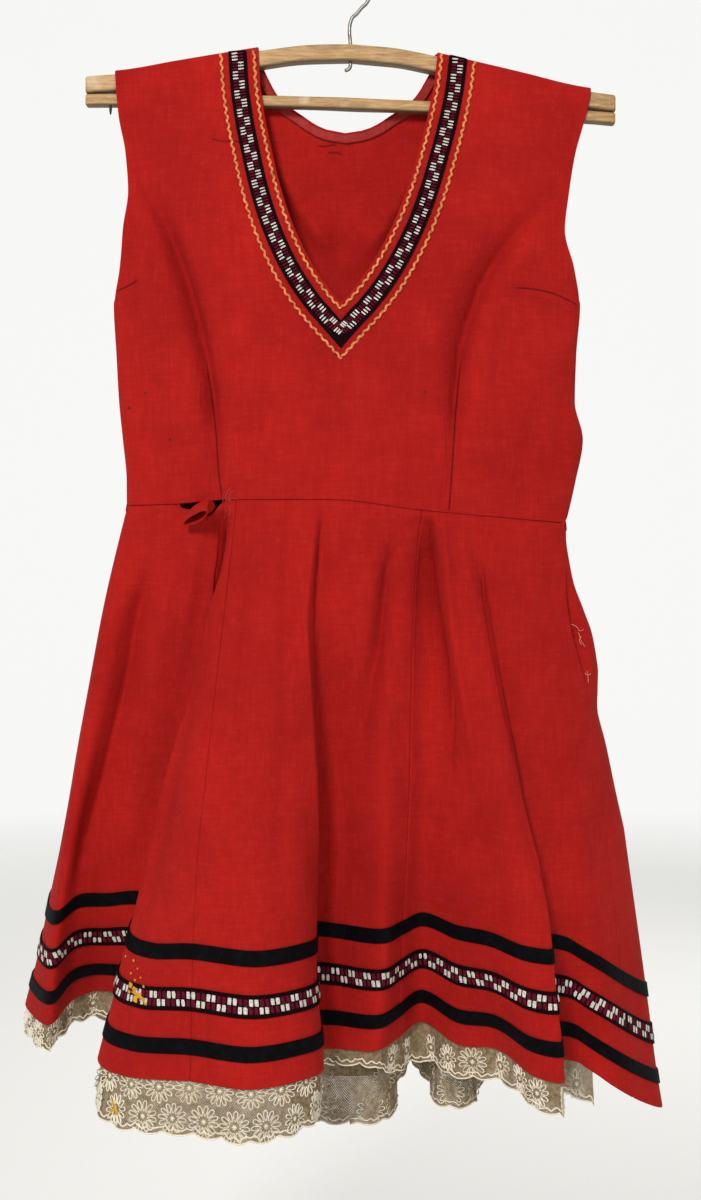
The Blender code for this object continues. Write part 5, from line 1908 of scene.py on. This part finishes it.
def build_pleat(wool):
    """The pleat that has come out of the waist seam: a short open tube of cloth."""
    path = smooth_path(PLEAT_PATH, PLEAT_ROWS)
    along = unit(np.gradient(path, axis=0))
    across = unit(PLEAT_LIE - along * (along @ PLEAT_LIE)[:, None])
    up = np.cross(across, along)
    turns = np.arange(PLEAT_SIDES) * 2 * pi / PLEAT_SIDES
    part = np.linspace(0, 1, PLEAT_ROWS)[:, None]
    wide, high = (root + (lip - root) * part for root, lip in zip(PLEAT_ROOT, PLEAT_LIP))
    pinch = 1 + sum(height * np.sin(count * turns + turn) for height, count, turn in PLEAT_WAVES)
    ring = (
        across[:, None] * (wide * pinch * np.cos(turns))[..., None]
        + up[:, None] * (high * pinch * np.sin(turns))[..., None]
    )
    face = (path[:, None] + ring).reshape(-1, 3)
    quads = grid_quads(PLEAT_ROWS, PLEAT_SIDES, closed=True)
    out = point_normals(face, quads)
    if (out * ring.reshape(-1, 3)).sum() < 0:
        quads, out = quads[:, ::-1], -out
    pleat = wall("torn_pleat_cloth", face, out, quads, PLEAT_CLOTH, wool)
    on_dress(pleat, "wool", "torn_pleat")


# The room


def build_floor():
    corners = np.array([(-1, -1, 0), (1, -1, 0), (1, 1, 0), (-1, 1, 0)]) * FLOOR_HALF
    floor = put_mesh("studio_floor", corners, np.array([[0, 1, 2, 3]]), floor_material())
    floor.location.z = FLOOR_Z * MM


def build_light():
    """A pale room, a little brighter behind the dress, and soft lamps."""
    scene = bpy.context.scene
    world = bpy.data.worlds.new("pale room")
    world.use_nodes = True
    add = partial(put, world.node_tree)
    way = add("ShaderNodeTexCoord", output="Generated")
    behind = add("ShaderNodeSeparateXYZ", [way], "Y")
    glow = add("ShaderNodeMapRange", [behind, -1.0, 1.0, *ROOM_LIGHT])
    sky = world.node_tree.nodes["Background"]
    sky.inputs["Color"].default_value = linear("F4F4F2")
    world.node_tree.links.new(glow, sky.inputs["Strength"])
    scene.world = world
    scene.view_settings.view_transform = "Standard"
    for name, place, size, power in LAMPS:
        lamp = bpy.data.lights.new(name, "AREA")
        lamp.size = size
        lamp.energy = power
        holder = put_object(name, lamp)
        holder.location = Vector(place)
        aim = Vector(LAMP_AIM) - Vector(place)
        holder.rotation_euler = aim.to_track_quat("-Z", "Y").to_euler()


def build_camera():
    """The photo's camera, turned a little down."""
    lens = bpy.data.cameras.new("photo camera")
    lens.sensor_fit = "VERTICAL"
    lens.sensor_height = SENSOR
    lens.lens = CAMERA_FOCUS * SENSOR
    camera = put_object("photo camera", lens)
    camera.location = Vector(CAMERA_PLACE) * MM
    camera.rotation_euler = (radians(90 - CAMERA_DOWN), 0, 0)
    bpy.context.scene.camera = camera


def main():
    finishes = {
        "wool": wool_material("red wool flannel", "B01B15", "951310", "B4241D"),
        "facing": wool_material("red cotton facing", "A83230", "8E2624", "B44440"),
        "tape": tape_material(),
        "braid": braid_material(),
        "white": thread_material("white cotton floats", "E8E2D6", "A39C90"),
        "maroon": thread_material("maroon cotton floats", "74122A", "3A0814", 900.0, 0.85, 0.1),
        "ricrac": thread_material("gold ric-rac", "F29454", "93451B", 500.0),
        "net": net_material(),
        "dark thread": thread_material("dark thread ends", "2A0C10", "120507"),
        "red thread": thread_material("red thread ends", "C84A42", "8A2420"),
        "pale thread": thread_material("pale thread ends", "E8A583", "B0684A"),
        "paint": thread_material("dried yellow paint", "DCA71E", "B57F14", 200.0),
        "cream": thread_material("cream embroidery cotton", "FBF3E0", "DCCFB2", 800.0),
    }
    tree = scatter_tree()
    iron = thread_material("rusted iron nail", "4A3A30", "241A16", 400.0)
    build_hanger(wood_material(), steel_material(), iron)
    build_panels(finishes)
    build_neck_braid(finishes, tree)
    build_ricrac(finishes)
    build_facing(finishes)
    build_bodice_threads(finishes, tree)
    build_skirt(finishes, tree)
    build_pleat(finishes["wool"])
    build_floor()
    build_light()
    build_camera()


main()
